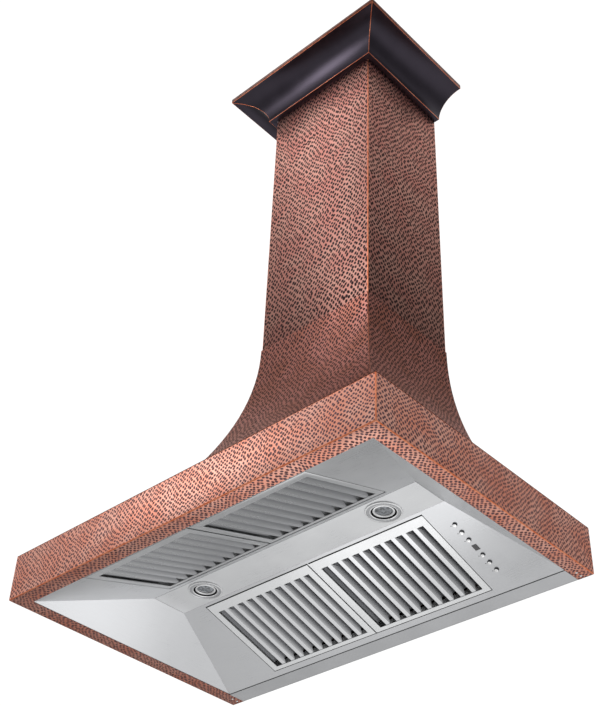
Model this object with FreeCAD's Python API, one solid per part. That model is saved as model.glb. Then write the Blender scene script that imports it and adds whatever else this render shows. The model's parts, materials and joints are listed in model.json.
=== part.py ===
import FreeCAD, Part
import math
import os
from FreeCAD import Vector

# Wall-backed copper range hood. Millimetres. X is to the right, Y points to the wall, Z is up.
# The origin is the middle of the footprint, at the underside of the copper lip.

# ---- canopy, chimney and crown
CANOPY_WIDTH = 914.0
CANOPY_DEPTH = 609.0
BAND_HEIGHT = 96.0
LIP_WIDTH = 33.0
REAR_STRIP_DEPTH = 43.0
TOP_FLANGE_WIDTH = 18.0
COPPER_SHEET = 1.2
SHOULDER_HEIGHT = 668.0
CHIMNEY_WIDTH = 313.0
CHIMNEY_DEPTH = 272.0
CHIMNEY_LAP = 40.0
CHIMNEY_RETURN = 20.0
NECK_CLEARANCE = 0.5
OVERALL_HEIGHT = 1531.5
CROWN_HEIGHT = 80.5
CROWN_OVERHANG = 89.0
CROWN_SHEET = 1.8
CROWN_LEDGE = 16.0
CROWN_FOOT = 8.0
CROWN_FASCIA = 14.0
CROWN_STEP = 6.0
CROWN_COVE_SAG = 16.0
CROWN_TOP_FLANGE = 25.0

# ---- stainless liner
BACK_SHEET = 1.2
LINER_SHEET = 1.2
RIDGE_HEIGHT = 70.0
STRIP_LENGTH = 666.0
STRIP_FRONT = 49.4
STRIP_BACK = 31.7
STRIP_UPSTAND = 14.0
REAR_UPSTAND = 12.0
LINER_FLANGE = 20.0
STUD_PITCH = 169.6

# ---- filters
FILTER_ROW_WIDTH = 554.0
WINDOW_LENGTH = 218.0
BACK_RIDGE_MARGIN = 7.0
FRONT_RIDGE_MARGIN = 11.0
FILTER_THICKNESS = 14.0
FILTER_SHEET = 1.0
FILTER_GAP = 1.5
FILTER_RIDGE_GAP = 3.0
STOP_GAP = 1.5
STOP_LIP = 6.0
RAIL_WEB = 2.0
RAIL_RECESS = 1.5
RAIL_CAP = 16.0
FRAME_SIDE = 14.0
FRAME_ROOM_BORDER = 21.0
FRAME_WALL_BORDER = 9.0
BAFFLES = 9
BAFFLE_WEB = 9.0
BAFFLE_FLARE = 19.2
BAFFLE_HEIGHT = 6.4
BAFFLE_SHEET = 0.8
BAFFLE_LAP = 6.0
DRAIN_LENGTH = 15.0
PIVOT_INSET = 4.0
PIVOT_HEIGHT = 5.0
PIVOT_RADIUS = 2.0
PIVOT_DEPTH = 0.9
RUNNING_CLEARANCE = 0.05

# ---- lights
LAMP_OFFSET = 228.5
TRIM_RADIUS = 34.5
TRIM_BORE = 23.5
TRIM_PROUD = 2.2
TRIM_SLEEVE = 14.0
LAMP_RADIUS = 20.5
LAMP_LENGTH = 34.0
LENS_RADIUS = 15.2
LENS_THICKNESS = 3.0

# ---- push buttons and display
PANEL_X = 315.0
PANEL_Y = 146.0
BUTTON_PITCH = 21.3
BUTTON_RADIUS = 4.3
BUTTON_CLEARANCE = 0.35
BUTTON_PROUD = 3.0
BUTTON_TRAVEL = 1.2
BUTTON_STEM = 5.0
BUTTON_SHOULDER = 1.4
SHOULDER_GAP = 0.1
SWITCH_GAP = 0.5
DISPLAY_WIDTH = 10.4
DISPLAY_LENGTH = 14.4
DISPLAY_GAP = 0.1
DISPLAY_PROUD = 0.4
HOUSING_WIDTH = 30.0
HOUSING_WALL = 1.5
HOUSING_HEIGHT = 16.0
BOARD_THICKNESS = 1.6
SWITCH_SIZE = 6.0
SWITCH_HEIGHT = 3.0

# ---- blower
WHEEL_Y = 93.0
WHEEL_Z = 330.0
WHEEL_RADIUS = 85.0
WHEEL_INNER_RADIUS = 73.0
WHEEL_WIDTH = 140.0
WHEEL_SHEET = 2.0
WHEEL_HUB_RADIUS = 12.0
WHEEL_BLADES = 36
BLADE_SHEET = 1.2
BLADE_LEAN = 24.0
SCROLL_WIDTH = 170.0
SCROLL_START_RADIUS = 93.0
SCROLL_END_RADIUS = 135.0
SCROLL_SHEET = 1.2
SCROLL_RIM = 8.0
THROAT_DEPTH = 120.0
THROAT_TOP = 470.0
INLET_RADIUS = 66.0
INLET_DEPTH = 11.0
MOTOR_RADIUS = 45.0
MOTOR_LENGTH = 90.0
MOTOR_START = 6.0
MOTOR_EDGE = 4.0
SHAFT_RADIUS = 4.0
SHAFT_START = -16.0
SHAFT_INSERT = 63.0
SHAFT_BORE_DEPTH = 67.5
BRACKET_SHEET = 2.0
BRACKET_RING = 18.0
BRACKET_ARM_WIDTH = 16.0
BRACKET_ARM_LAP = 16.0
MOUNT_LOW = 10.0
MOUNT_HIGH = 120.0
MOUNT_LAP = 30.0
MOUNT_SCREW_INSET = 12.0
MOUNT_SCREW_HEIGHTS = (40.0, 90.0)
MOUNT_SCREW_LENGTH = 8.0

# ---- duct outlet and damper
ADAPTER_HEIGHT = 70.0
COLLAR_RADIUS = 74.5
COLLAR_SHEET = 1.0
COLLAR_HEIGHT = 95.0
FLAP_SHEET = 0.8
FLAP_GAP = 2.0
ROD_RADIUS = 2.0
ROD_OFFSET = 4.5
ROD_RECESS = 0.4
FLAP_HEIGHT = 20.0
FLAP_LEDGE = 5.0
FLAP_REST_GAP = 0.4

# ---- wall fixings and electrics
WALL_HOLE_RADIUS = 4.5
WALL_HOLE_SPACING_X = 406.4
WALL_HOLE_SPACING_Z = 200.0
WALL_HOLE_LOW_Z = 140.0
WALL_PLATE_SIZE = 40.0
CHIMNEY_BRACKET_Z = 1490.0
CHIMNEY_BRACKET_HEIGHT = 30.0
CHIMNEY_HOLE_RADIUS = 3.0
CHIMNEY_HOLE_SPACING = 200.0
JUNCTION_X = -287.0
JUNCTION_Z = 146.0
JUNCTION_WIDTH = 90.0
JUNCTION_HEIGHT = 68.0
JUNCTION_DEPTH = 50.0
JUNCTION_SHEET = 1.0
GLAND_RADIUS = 11.0
GLAND_BORE = 7.0
GLAND_LENGTH = 16.0
DRIVER_SIZE = (96.0, 30.0, 34.0)
DRIVER_X = 285.0
SCREW_RADIUS = 2.0
SCREW_HEAD_RADIUS = 3.6
SCREW_HEAD_HEIGHT = 2.0
SCREW_SPARE = 3.0
RIVET_RADIUS = 2.4
RIVET_LENGTH = 4.0
RIVET_PITCH = 14.0
RIVET_BACK = 8.0

# ---- places that follow from the sizes above
HALF_W = CANOPY_WIDTH / 2
BACK = CANOPY_DEPTH / 2
FRONT = -BACK
PANEL_FACE = BACK - BACK_SHEET
LIP_X = HALF_W - LIP_WIDTH
LIP_FRONT = FRONT + LIP_WIDTH
STRIP_EDGE = BACK - REAR_STRIP_DEPTH
CHIMNEY_X = CHIMNEY_WIDTH / 2
CHIMNEY_FRONT = BACK - CHIMNEY_DEPTH
DUCT_Y = BACK - CHIMNEY_DEPTH / 2
NECK_GROWTH = NECK_CLEARANCE + COPPER_SHEET
NECK_X = CHIMNEY_X + NECK_GROWTH
NECK_FRONT = CHIMNEY_FRONT - NECK_GROWTH
CROWN_Z = OVERALL_HEIGHT - CROWN_HEIGHT
WINDOW_HALF = FILTER_ROW_WIDTH / 2
STOP_HEIGHT = FILTER_THICKNESS + STOP_GAP
COLLAR_Z = THROAT_TOP + ADAPTER_HEIGHT
FLAP_Z = COLLAR_Z + FLAP_HEIGHT
BUTTON_TOP = LINER_SHEET + BUTTON_STEM
SWITCH_FACE = BUTTON_TOP + BUTTON_TRAVEL + SWITCH_GAP
BOARD_LOW = SWITCH_FACE + SWITCH_HEIGHT
OVERSHOOT = 50.0


# ---------------------------------------------------------------- solids

def block(x0, x1, y0, y1, z0, z1):
    return Part.makeBox(x1 - x0, y1 - y0, z1 - z0, Vector(x0, y0, z0))


def rod(radius, start, end):
    run = Vector(*end) - Vector(*start)
    return Part.makeCylinder(radius, run.Length, Vector(*start), run)


def tube(outer, inner, start, end):
    return rod(outer, start, end).cut(rod(inner, start, end))


def prism(points, run):
    """A closed outline of 3-D points, extruded along run."""
    corners = [Vector(*p) for p in points]
    return Part.Face(Part.makePolygon(corners + corners[:1])).extrude(Vector(*run))


def fuse(shapes):
    return shapes[0].multiFuse(shapes[1:]).removeSplitter() if len(shapes) > 1 else shapes[0]


def group(shapes):
    return Part.makeCompound(shapes)


def cut_all(shape, tools):
    return shape.cut(Part.makeCompound(tools)) if tools else shape


def save(name, shape):
    shape.exportStep("parts/" + name + ".step")


class Slope:
    """A liner slope: x across, s down the slope from its ridge edge, n out of its upper face."""

    def __init__(self, ridge_y, foot_y, ridge_margin):
        self.window_start = ridge_margin
        self.window_end = ridge_margin + WINDOW_LENGTH
        run = foot_y - ridge_y
        drop = RIDGE_HEIGHT - COPPER_SHEET
        self.length = math.hypot(run, drop)
        self.side = 1.0 if run > 0 else -1.0
        cosine = abs(run) / self.length
        sine = drop / self.length
        self.matrix = FreeCAD.Matrix(
            self.side, 0, 0, 0,
            0, self.side * cosine, self.side * sine, ridge_y,
            0, -sine, cosine, RIDGE_HEIGHT,
            0, 0, 0, 1,
        )

    def place(self, shape):
        moved = shape.copy()
        moved.Placement = FreeCAD.Placement(self.matrix).multiply(shape.Placement)
        return moved

    def point(self, x, s, n):
        return self.matrix.multVec(Vector(x, s, n))

    def s_at(self, y):
        return (y - self.point(0, 0, 0).y) / (self.point(0, 1, 0).y - self.point(0, 0, 0).y)


BACK_SLOPE = Slope(STRIP_BACK, STRIP_EDGE, BACK_RIDGE_MARGIN)
FRONT_SLOPE = Slope(-STRIP_FRONT, LIP_FRONT, FRONT_RIDGE_MARGIN)


# ---------------------------------------------------------------- copper shell

def canopy_band():
    """Three-sided band with a wide lip turned in at the foot and a narrow flange at the top."""
    t = COPPER_SHEET
    wall = block(-HALF_W, HALF_W, FRONT, BACK, 0, BAND_HEIGHT)
    wall = wall.cut(block(-HALF_W + t, HALF_W - t, FRONT + t, BACK + OVERSHOOT, -t, BAND_HEIGHT + t))
    lip = block(-HALF_W + t / 2, HALF_W - t / 2, FRONT + t / 2, PANEL_FACE, 0, t)
    lip = lip.cut(block(-LIP_X, LIP_X, LIP_FRONT, BACK, -t, 2 * t))
    inset = TOP_FLANGE_WIDTH
    flange = block(-HALF_W + t / 2, HALF_W - t / 2, FRONT + t / 2, PANEL_FACE, BAND_HEIGHT - t, BAND_HEIGHT)
    flange = flange.cut(
        block(-HALF_W + inset, HALF_W - inset, FRONT + inset, BACK, BAND_HEIGHT - 2 * t, BAND_HEIGHT + t)
    )
    band = fuse([wall, lip, flange])
    holes = [rod(RIVET_RADIUS, (x, y, -1), (x, y, t + 1)) for x, y in rivet_places()]
    return cut_all(band, holes)


def flare_radius(reach):
    """Radius of an arc that leaves the neck straight down and lands on the band's top edge."""
    drop = SHOULDER_HEIGHT - BAND_HEIGHT
    return (reach * reach + drop * drop) / (2 * reach)


def flare_edge(neck, foot, inset):
    """Bottom, middle and top of one concave edge of the flare, inset inwards by the sheet."""
    side = math.copysign(1.0, foot - neck)
    radius = flare_radius(abs(foot - neck))
    centre = neck + side * radius
    low = math.asin((SHOULDER_HEIGHT - BAND_HEIGHT) / (radius + inset))
    spots = []
    for angle in (low, low / 2, 0.0):
        across = centre - side * (radius + inset) * math.cos(angle)
        spots.append((across, SHOULDER_HEIGHT - (radius + inset) * math.sin(angle)))
    return spots


def flare_slabs(inset, top, back):
    """Two solid slabs whose common part is the flare: its front outline and its side outline."""
    left = flare_edge(-NECK_X, -HALF_W, inset)
    right = flare_edge(NECK_X, HALF_W, inset)
    front = flare_edge(NECK_FRONT, FRONT, inset)

    def side_point(p):
        return Vector(p[0], FRONT - OVERSHOOT, p[1])

    def front_point(p):
        return Vector(-HALF_W - OVERSHOOT, p[0], p[1])

    outline = [
        Part.Arc(*[side_point(p) for p in left]).toShape(),
        Part.makePolygon([side_point(left[2]), side_point((left[2][0], top)),
                          side_point((right[2][0], top)), side_point(right[2])]),
        Part.Arc(*[side_point(p) for p in reversed(right)]).toShape(),
        Part.makePolygon([side_point(right[0]), side_point(left[0])]),
    ]
    across = Part.Face(Part.Wire(outline)).extrude(Vector(0, back - FRONT + OVERSHOOT, 0))
    outline = [
        Part.Arc(*[front_point(p) for p in front]).toShape(),
        Part.makePolygon([front_point(front[2]), front_point((front[2][0], top)),
                          front_point((back, top)), front_point((back, BAND_HEIGHT)),
                          front_point(front[0])]),
    ]
    along = Part.Face(Part.Wire(outline)).extrude(Vector(CANOPY_WIDTH + 2 * OVERSHOOT, 0, 0))
    return across, along


def flare_solid(inset, top, back):
    across, along = flare_slabs(inset, top, back)
    return across.common(along)


def canopy_flare():
    """Concave flare of three welded panels: the front one laps the front edges of the two sides."""
    outer = flare_solid(0, SHOULDER_HEIGHT, BACK)
    across, along = flare_slabs(COPPER_SHEET, SHOULDER_HEIGHT + OVERSHOOT, BACK + OVERSHOOT)
    return group([outer.cut(along), outer.common(along).cut(across)])


def chimney_cover():
    """Three-sided chimney with two returns at the wall. Its foot stands inside the neck."""
    t = COPPER_SHEET
    low = SHOULDER_HEIGHT - CHIMNEY_LAP
    shell = block(-CHIMNEY_X, CHIMNEY_X, CHIMNEY_FRONT, BACK, low, OVERALL_HEIGHT)
    hollow = block(-CHIMNEY_X + t, CHIMNEY_X - t, CHIMNEY_FRONT + t, BACK - t, low - t, OVERALL_HEIGHT + t)
    gap = CHIMNEY_X - CHIMNEY_RETURN
    doorway = block(-gap, gap, BACK - 2 * t, BACK + t, low - t, OVERALL_HEIGHT + t)
    foot = block(-NECK_X, NECK_X, PANEL_FACE, BACK + t, low - t, SHOULDER_HEIGHT)
    shell = shell.cut(hollow).cut(doorway).cut(foot)
    holes = [
        rod(SCREW_RADIUS, (side * (CHIMNEY_X - 2 * t), y, z), (side * (CHIMNEY_X + t), y, z))
        for side, y, z in chimney_screw_places()
    ]
    return cut_all(shell, holes)


def crown_section(side_point):
    """Closed section of the crown sheet: foot ledge, foot fascia, cove, top fascia and top flange."""
    t = CROWN_SHEET
    cove_out = CROWN_OVERHANG - CROWN_STEP
    cove_top = CROWN_HEIGHT - CROWN_FASCIA
    run = Vector(cove_out - CROWN_LEDGE, cove_top - CROWN_FOOT, 0)
    inward = Vector(-run.y, run.x, 0).normalize()
    middle = Vector((cove_out + CROWN_LEDGE) / 2, (cove_top + CROWN_FOOT) / 2, 0) + inward * CROWN_COVE_SAG
    inner_middle = middle + inward * t

    def spot(u, z):
        return side_point(u, CROWN_Z + z)

    low_in = CROWN_LEDGE - t
    outer_cove = Part.Arc(spot(CROWN_LEDGE, CROWN_FOOT), spot(middle.x, middle.y), spot(cove_out, cove_top))
    inner_cove = Part.Arc(spot(cove_out - t, cove_top + t), spot(inner_middle.x, inner_middle.y),
                          spot(low_in, CROWN_FOOT + t))
    outside = Part.makePolygon([
        spot(0, t), spot(0, 0), spot(CROWN_LEDGE, 0), spot(CROWN_LEDGE, CROWN_FOOT)])
    fascia = Part.makePolygon([
        spot(cove_out, cove_top), spot(CROWN_OVERHANG, cove_top), spot(CROWN_OVERHANG, CROWN_HEIGHT),
        spot(CROWN_OVERHANG - CROWN_TOP_FLANGE, CROWN_HEIGHT),
        spot(CROWN_OVERHANG - CROWN_TOP_FLANGE, CROWN_HEIGHT - t),
        spot(CROWN_OVERHANG - t, CROWN_HEIGHT - t), spot(CROWN_OVERHANG - t, cove_top + t),
        spot(cove_out - t, cove_top + t)])
    inside = Part.makePolygon([spot(low_in, CROWN_FOOT + t), spot(low_in, t), spot(0, t)])
    return Part.Face(Part.Wire([outside, outer_cove.toShape(), fascia, inner_cove.toShape(), inside]))


def crown_pieces():
    """Front, left and right lengths of crown, mitred at the two front corners."""
    reach = CROWN_OVERHANG + OVERSHOOT
    far_x = CHIMNEY_X + reach
    far_y = CHIMNEY_FRONT - reach
    deep = CHIMNEY_X - 1.0
    z = CROWN_Z - 1.0
    tall = (0, 0, CROWN_HEIGHT + 2.0)
    front_zone = prism(
        [(-far_x, far_y, z), (far_x, far_y, z), (CHIMNEY_X - deep, CHIMNEY_FRONT + deep, z),
         (-CHIMNEY_X + deep, CHIMNEY_FRONT + deep, z)], tall)
    front = crown_section(lambda u, h: Vector(-far_x, CHIMNEY_FRONT - u, h)).extrude(Vector(2 * far_x, 0, 0))
    pieces = {"crown_front": front.common(front_zone)}
    for name, side in (("crown_left", -1), ("crown_right", 1)):
        zone = prism(
            [(side * far_x, far_y, z), (side * (CHIMNEY_X - deep), CHIMNEY_FRONT + deep, z),
             (side * (CHIMNEY_X - deep), BACK, z), (side * far_x, BACK, z)], tall)
        length = BACK - far_y
        arm = crown_section(lambda u, h, side=side: Vector(side * (CHIMNEY_X + u), far_y, h))
        pieces[name] = arm.extrude(Vector(0, length, 0)).common(zone)
    return pieces


# ---------------------------------------------------------------- rivets and screws

def rivet_places():
    """Two rivets across the rear end of each side lip."""
    x = LIP_X + LIP_WIDTH / 3
    return [(side * x, PANEL_FACE - RIVET_BACK - k * RIVET_PITCH) for side in (-1, 1) for k in (0, 1)]


def lip_rivets():
    return group([rod(RIVET_RADIUS, (x, y, 0), (x, y, RIVET_LENGTH)) for x, y in rivet_places()])


def chimney_screw_places():
    ear_y = PANEL_FACE - BRACKET_SHEET - CHIMNEY_RETURN / 2
    return [(side, ear_y, CHIMNEY_BRACKET_Z) for side in (-1, 1)]


def screw(head_face, run, length):
    """Pan-head screw whose head sits on head_face and whose shank points along run."""
    start = Vector(*head_face)
    way = Vector(*run).normalize()
    head = Part.makeCylinder(SCREW_HEAD_RADIUS, SCREW_HEAD_HEIGHT, start - way * SCREW_HEAD_HEIGHT, way)
    shank = Part.makeCylinder(SCREW_RADIUS, length, start, way)
    return head.fuse(shank).removeSplitter()


# ---------------------------------------------------------------- back panel and wall fixings

def wall_hole_places():
    return [
        (side * WALL_HOLE_SPACING_X / 2, WALL_HOLE_LOW_Z + row * WALL_HOLE_SPACING_Z)
        for side in (-1, 1) for row in (0, 1)
    ]


def wall_holes():
    return [rod(WALL_HOLE_RADIUS, (x, PANEL_FACE - 20, z), (x, BACK + 1, z)) for x, z in wall_hole_places()]


def back_panel():
    """Flat stainless back that fills the flare's outline."""
    low = block(-HALF_W + COPPER_SHEET, HALF_W - COPPER_SHEET, PANEL_FACE, BACK, 0, BAND_HEIGHT)
    high = flare_solid(COPPER_SHEET, SHOULDER_HEIGHT, BACK)
    high = high.common(block(-HALF_W, HALF_W, PANEL_FACE, BACK, BAND_HEIGHT, SHOULDER_HEIGHT))
    panel = fuse([low, high])
    gland = rod(GLAND_RADIUS, (JUNCTION_X, PANEL_FACE - 1, JUNCTION_Z), (JUNCTION_X, BACK + 1, JUNCTION_Z))
    return cut_all(panel, wall_holes() + [gland])


def rear_strip():
    """Bare strip along the foot of the back, with an upstand welded to the back panel."""
    strip = block(-LIP_X, LIP_X, STRIP_EDGE, PANEL_FACE, 0, COPPER_SHEET)
    upstand = block(-LIP_X, LIP_X, PANEL_FACE - BACK_SHEET, PANEL_FACE, 0, REAR_UPSTAND)
    return fuse([strip, upstand])


def wall_plates():
    half = WALL_PLATE_SIZE / 2
    plates = []
    for x, z in wall_hole_places():
        plates.append(block(x - half, x + half, PANEL_FACE - BRACKET_SHEET, PANEL_FACE, z - half, z + half))
    return group([cut_all(plate, wall_holes()) for plate in plates])


def chimney_bracket():
    """Bar that screws to the wall inside the chimney, with an ear against each chimney side."""
    inner = CHIMNEY_X - COPPER_SHEET
    face = PANEL_FACE
    low = CHIMNEY_BRACKET_Z - CHIMNEY_BRACKET_HEIGHT / 2
    high = CHIMNEY_BRACKET_Z + CHIMNEY_BRACKET_HEIGHT / 2
    t = BRACKET_SHEET
    bar = block(-inner, inner, face - t, face, low, high)
    ears = [block(min(side * inner, side * (inner - t)), max(side * inner, side * (inner - t)),
                  face - t - CHIMNEY_RETURN, face, low, high) for side in (-1, 1)]
    holes = [rod(CHIMNEY_HOLE_RADIUS, (side * CHIMNEY_HOLE_SPACING / 2, face - 2 * t, CHIMNEY_BRACKET_Z),
                 (side * CHIMNEY_HOLE_SPACING / 2, face + t, CHIMNEY_BRACKET_Z)) for side in (-1, 1)]
    holes += [rod(SCREW_RADIUS, (side * (inner - 2 * t), y, z), (side * (inner + t), y, z))
              for side, y, z in chimney_screw_places()]
    return cut_all(fuse([bar] + ears), holes)


def sheet_screws():
    """Equal screws: two through the chimney into its bracket, four through the mount's arms into the scroll."""
    chimney = [screw((side * CHIMNEY_X, y, z), (-side, 0, 0), COPPER_SHEET + BRACKET_SHEET + SCREW_SPARE)
               for side, y, z in chimney_screw_places()]
    blower = [screw(place, (-side, 0, 0), SCROLL_SHEET + BRACKET_SHEET + SCREW_SPARE)
              for side in (-1, 1) for place in blower_screw_places(side)]
    return group(chimney + blower)


# ---------------------------------------------------------------- liner

def slope_panel(slope):
    """One long slope of the liner: trapezoid sheet, a foot flange on the lip and a framed filter window."""
    t = LINER_SHEET
    ridge = STRIP_LENGTH / 2
    sheet = prism([(-ridge, 0, 0), (ridge, 0, 0), (LIP_X, slope.length, 0), (-LIP_X, slope.length, 0)], (0, 0, t))
    s0 = slope.window_start
    s1 = slope.window_end
    wall = block(-WINDOW_HALF - t, WINDOW_HALF + t, s0 - t, s1 + t, 0, STOP_HEIGHT + t)
    wall = wall.cut(block(-WINDOW_HALF, WINDOW_HALF, s0, s1, -t, STOP_HEIGHT))
    well = block(-WINDOW_HALF + STOP_LIP, WINDOW_HALF - STOP_LIP, s0 + STOP_LIP, s1 - STOP_LIP, 0, 2 * STOP_HEIGHT)
    sheet = sheet.cut(block(-WINDOW_HALF, WINDOW_HALF, s0, s1, -t, 2 * t))
    panel = sheet.fuse(wall.cut(well)).removeSplitter()
    s_pivot, n_pivot = pivot_place(slope)
    reach = WINDOW_HALF + 2 * t
    panel = panel.cut(rod(PIVOT_RADIUS + RUNNING_CLEARANCE, (-reach, s_pivot, n_pivot), (reach, s_pivot, n_pivot)))
    return slope.place(panel)


def foot_flange(x0, x1, y0, y1):
    return block(x0, x1, y0, y1, COPPER_SHEET, COPPER_SHEET + LINER_SHEET)


def liner_front_panel():
    flange = foot_flange(-LIP_X, LIP_X, LIP_FRONT - LINER_FLANGE, LIP_FRONT + LINER_SHEET / 2)
    panel = slope_panel(FRONT_SLOPE).fuse(flange).removeSplitter()
    return cut_all(panel, stud_holes(LIP_FRONT - LINER_FLANGE / 2))


def liner_back_panel():
    """The back slope also carries the row of button holes and the display opening."""
    flange = foot_flange(-LIP_X, LIP_X, STRIP_EDGE - LINER_SHEET / 2, STRIP_EDGE + LINER_FLANGE)
    panel = slope_panel(BACK_SLOPE).fuse(flange).removeSplitter()
    holes = []
    for s in button_places():
        holes.append(rod(BUTTON_RADIUS + BUTTON_CLEARANCE, (PANEL_X, s, -1), (PANEL_X, s, 2 * LINER_SHEET)))
    s = BACK_SLOPE.s_at(PANEL_Y)
    holes.append(block(PANEL_X - DISPLAY_WIDTH / 2, PANEL_X + DISPLAY_WIDTH / 2,
                       s - DISPLAY_LENGTH / 2, s + DISPLAY_LENGTH / 2, -1, 2 * LINER_SHEET))
    return cut_all(panel, [BACK_SLOPE.place(h) for h in holes] + stud_holes(STRIP_EDGE + LINER_FLANGE / 2))


def liner_end(side):
    """Steep end of the liner, from the end of the light strip down to the side lip."""
    ridge = STRIP_LENGTH / 2
    corners = [Vector(side * ridge, -STRIP_FRONT, RIDGE_HEIGHT), Vector(side * ridge, STRIP_BACK, RIDGE_HEIGHT),
               Vector(side * LIP_X, STRIP_EDGE, COPPER_SHEET), Vector(side * LIP_X, LIP_FRONT, COPPER_SHEET)]
    rise = RIDGE_HEIGHT - COPPER_SHEET
    upward = Vector(side * rise, 0, LIP_X - ridge).normalize() * LINER_SHEET
    sheet = Part.Face(Part.makePolygon(corners + corners[:1])).extrude(upward)
    x0, x1 = sorted((side * (LIP_X - LINER_SHEET / 2), side * (LIP_X + LINER_FLANGE)))
    flange = foot_flange(x0, x1, LIP_FRONT + LINER_SHEET, STRIP_EDGE - LINER_SHEET)
    return sheet.fuse(flange).removeSplitter()


def light_strip():
    """Flat strip at the ridge, with an upstand along each long edge and two lamp holes."""
    half = STRIP_LENGTH / 2
    t = LINER_SHEET
    z = RIDGE_HEIGHT
    plate = block(-half, half, -STRIP_FRONT, STRIP_BACK, z, z + t)
    upstands = [block(-half, half, -STRIP_FRONT, -STRIP_FRONT + t, z, z + STRIP_UPSTAND),
                block(-half, half, STRIP_BACK - t, STRIP_BACK, z, z + STRIP_UPSTAND)]
    y = lamp_y()
    holes = [rod(TRIM_BORE + 2 * t, (side * LAMP_OFFSET, y, z - t), (side * LAMP_OFFSET, y, z + 2 * t))
             for side in (-1, 1)]
    return cut_all(fuse([plate] + upstands), holes)


def filter_rail(slope):
    """T-shaped rail between the two filters of a slope; both filters pivot on its web."""
    s0 = slope.window_start
    s1 = slope.window_end
    web = block(-RAIL_WEB / 2, RAIL_WEB / 2, s0, s1, RAIL_RECESS, STOP_HEIGHT)
    cap = block(-RAIL_CAP / 2, RAIL_CAP / 2, s0, s1, STOP_HEIGHT, STOP_HEIGHT + LINER_SHEET)
    lips = [block(-RAIL_CAP, RAIL_CAP, s0 - 1, s0 + STOP_LIP, STOP_HEIGHT, STOP_HEIGHT + 2 * LINER_SHEET),
            block(-RAIL_CAP, RAIL_CAP, s1 - STOP_LIP, s1 + 1, STOP_HEIGHT, STOP_HEIGHT + 2 * LINER_SHEET)]
    rail = cut_all(web.fuse(cap), lips).removeSplitter()
    s_pivot, n_pivot = pivot_place(slope)
    hole = rod(PIVOT_RADIUS + RUNNING_CLEARANCE, (-RAIL_WEB, s_pivot, n_pivot), (RAIL_WEB, s_pivot, n_pivot))
    return slope.place(rail.cut(hole))


def stud_places(y):
    return [(k * STUD_PITCH, y, COPPER_SHEET + LINER_SHEET) for k in (-2, -1, 0, 1, 2)]


def stud_holes(y):
    return [rod(SCREW_RADIUS, (x, y, 0), (x, y, z + 1)) for x, y, z in stud_places(y)]


def liner_studs():
    """Studs that stand on the lip and the rear strip, each with its nut on the liner's flange."""
    spots = stud_places(LIP_FRONT - LINER_FLANGE / 2) + stud_places(STRIP_EDGE + LINER_FLANGE / 2)
    return group([screw(spot, (0, 0, -1), LINER_SHEET) for spot in spots])


# ---------------------------------------------------------------- filters

def pivot_place(slope):
    return slope.window_start + FILTER_RIDGE_GAP + PIVOT_INSET, PIVOT_HEIGHT


def filter_span(slope):
    """Left and right edge and the two ends of the filter on the +x side of a slope."""
    x0 = RAIL_WEB / 2 + FILTER_GAP
    x1 = WINDOW_HALF - FILTER_GAP
    return x0, x1, slope.window_start + FILTER_RIDGE_GAP, slope.window_end - FILTER_GAP


def filter_borders(slope):
    """Border at the ridge end and at the foot end: the wide one is always towards the room."""
    if slope is BACK_SLOPE:
        return FRAME_ROOM_BORDER, FRAME_WALL_BORDER
    return FRAME_WALL_BORDER, FRAME_ROOM_BORDER


def filter_frame(slope):
    """Folded channel frame, open to the inside, with a pivot stub at each side of its ridge end."""
    x0, x1, s0, s1 = filter_span(slope)
    ridge_border, foot_border = filter_borders(slope)
    t = FILTER_SHEET
    frame = block(x0, x1, s0, s1, 0, FILTER_THICKNESS)
    hollow = block(x0 + t, x1 - t, s0 + t, s1 - t, t, FILTER_THICKNESS - t)
    window = block(x0 + FRAME_SIDE, x1 - FRAME_SIDE, s0 + ridge_border, s1 - foot_border,
                   -t, FILTER_THICKNESS + t)
    s_pivot, n_pivot = pivot_place(slope)
    stub_end = x0 - FILTER_GAP - PIVOT_DEPTH
    stubs = [rod(PIVOT_RADIUS, (stub_end, s_pivot, n_pivot), (x0 + t, s_pivot, n_pivot)),
             rod(PIVOT_RADIUS, (x1 - t, s_pivot, n_pivot), (x1 + FILTER_GAP + LINER_SHEET, s_pivot, n_pivot))]
    return fuse([frame.cut(hollow).cut(window)] + stubs)


def baffle(centre, start, end, low, up):
    """Flared channel between two ends: web at low, sides that open away from it along up (1 or -1)."""
    t = BAFFLE_SHEET
    web = BAFFLE_WEB / 2
    flare = BAFFLE_FLARE / 2
    slant = t * math.hypot(flare - web, BAFFLE_HEIGHT) / BAFFLE_HEIGHT
    outline = [(-flare, BAFFLE_HEIGHT), (-web, 0), (web, 0), (flare, BAFFLE_HEIGHT), (flare - slant, BAFFLE_HEIGHT)]
    fold = web - slant + (flare - web) * t / BAFFLE_HEIGHT
    outline += [(fold, t), (-fold, t), (slant - flare, BAFFLE_HEIGHT)]
    return prism([(centre + x, start, low + up * n) for x, n in outline], (0, end - start, 0))


def drain_cut(slope, end, toward):
    """Wedge that trims the flared sides of the lower baffles towards one end."""
    x0, x1, _, _ = filter_span(slope)
    low = FILTER_SHEET + BAFFLE_SHEET
    high = FILTER_SHEET + BAFFLE_HEIGHT
    return prism([(x0, end - toward * DRAIN_LENGTH, high), (x0, end, low), (x0, end + toward * DRAIN_LENGTH, low),
                  (x0, end + toward * DRAIN_LENGTH, 2 * high), (x0, end - toward * DRAIN_LENGTH, 2 * high)],
                 (x1 - x0, 0, 0))


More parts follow.
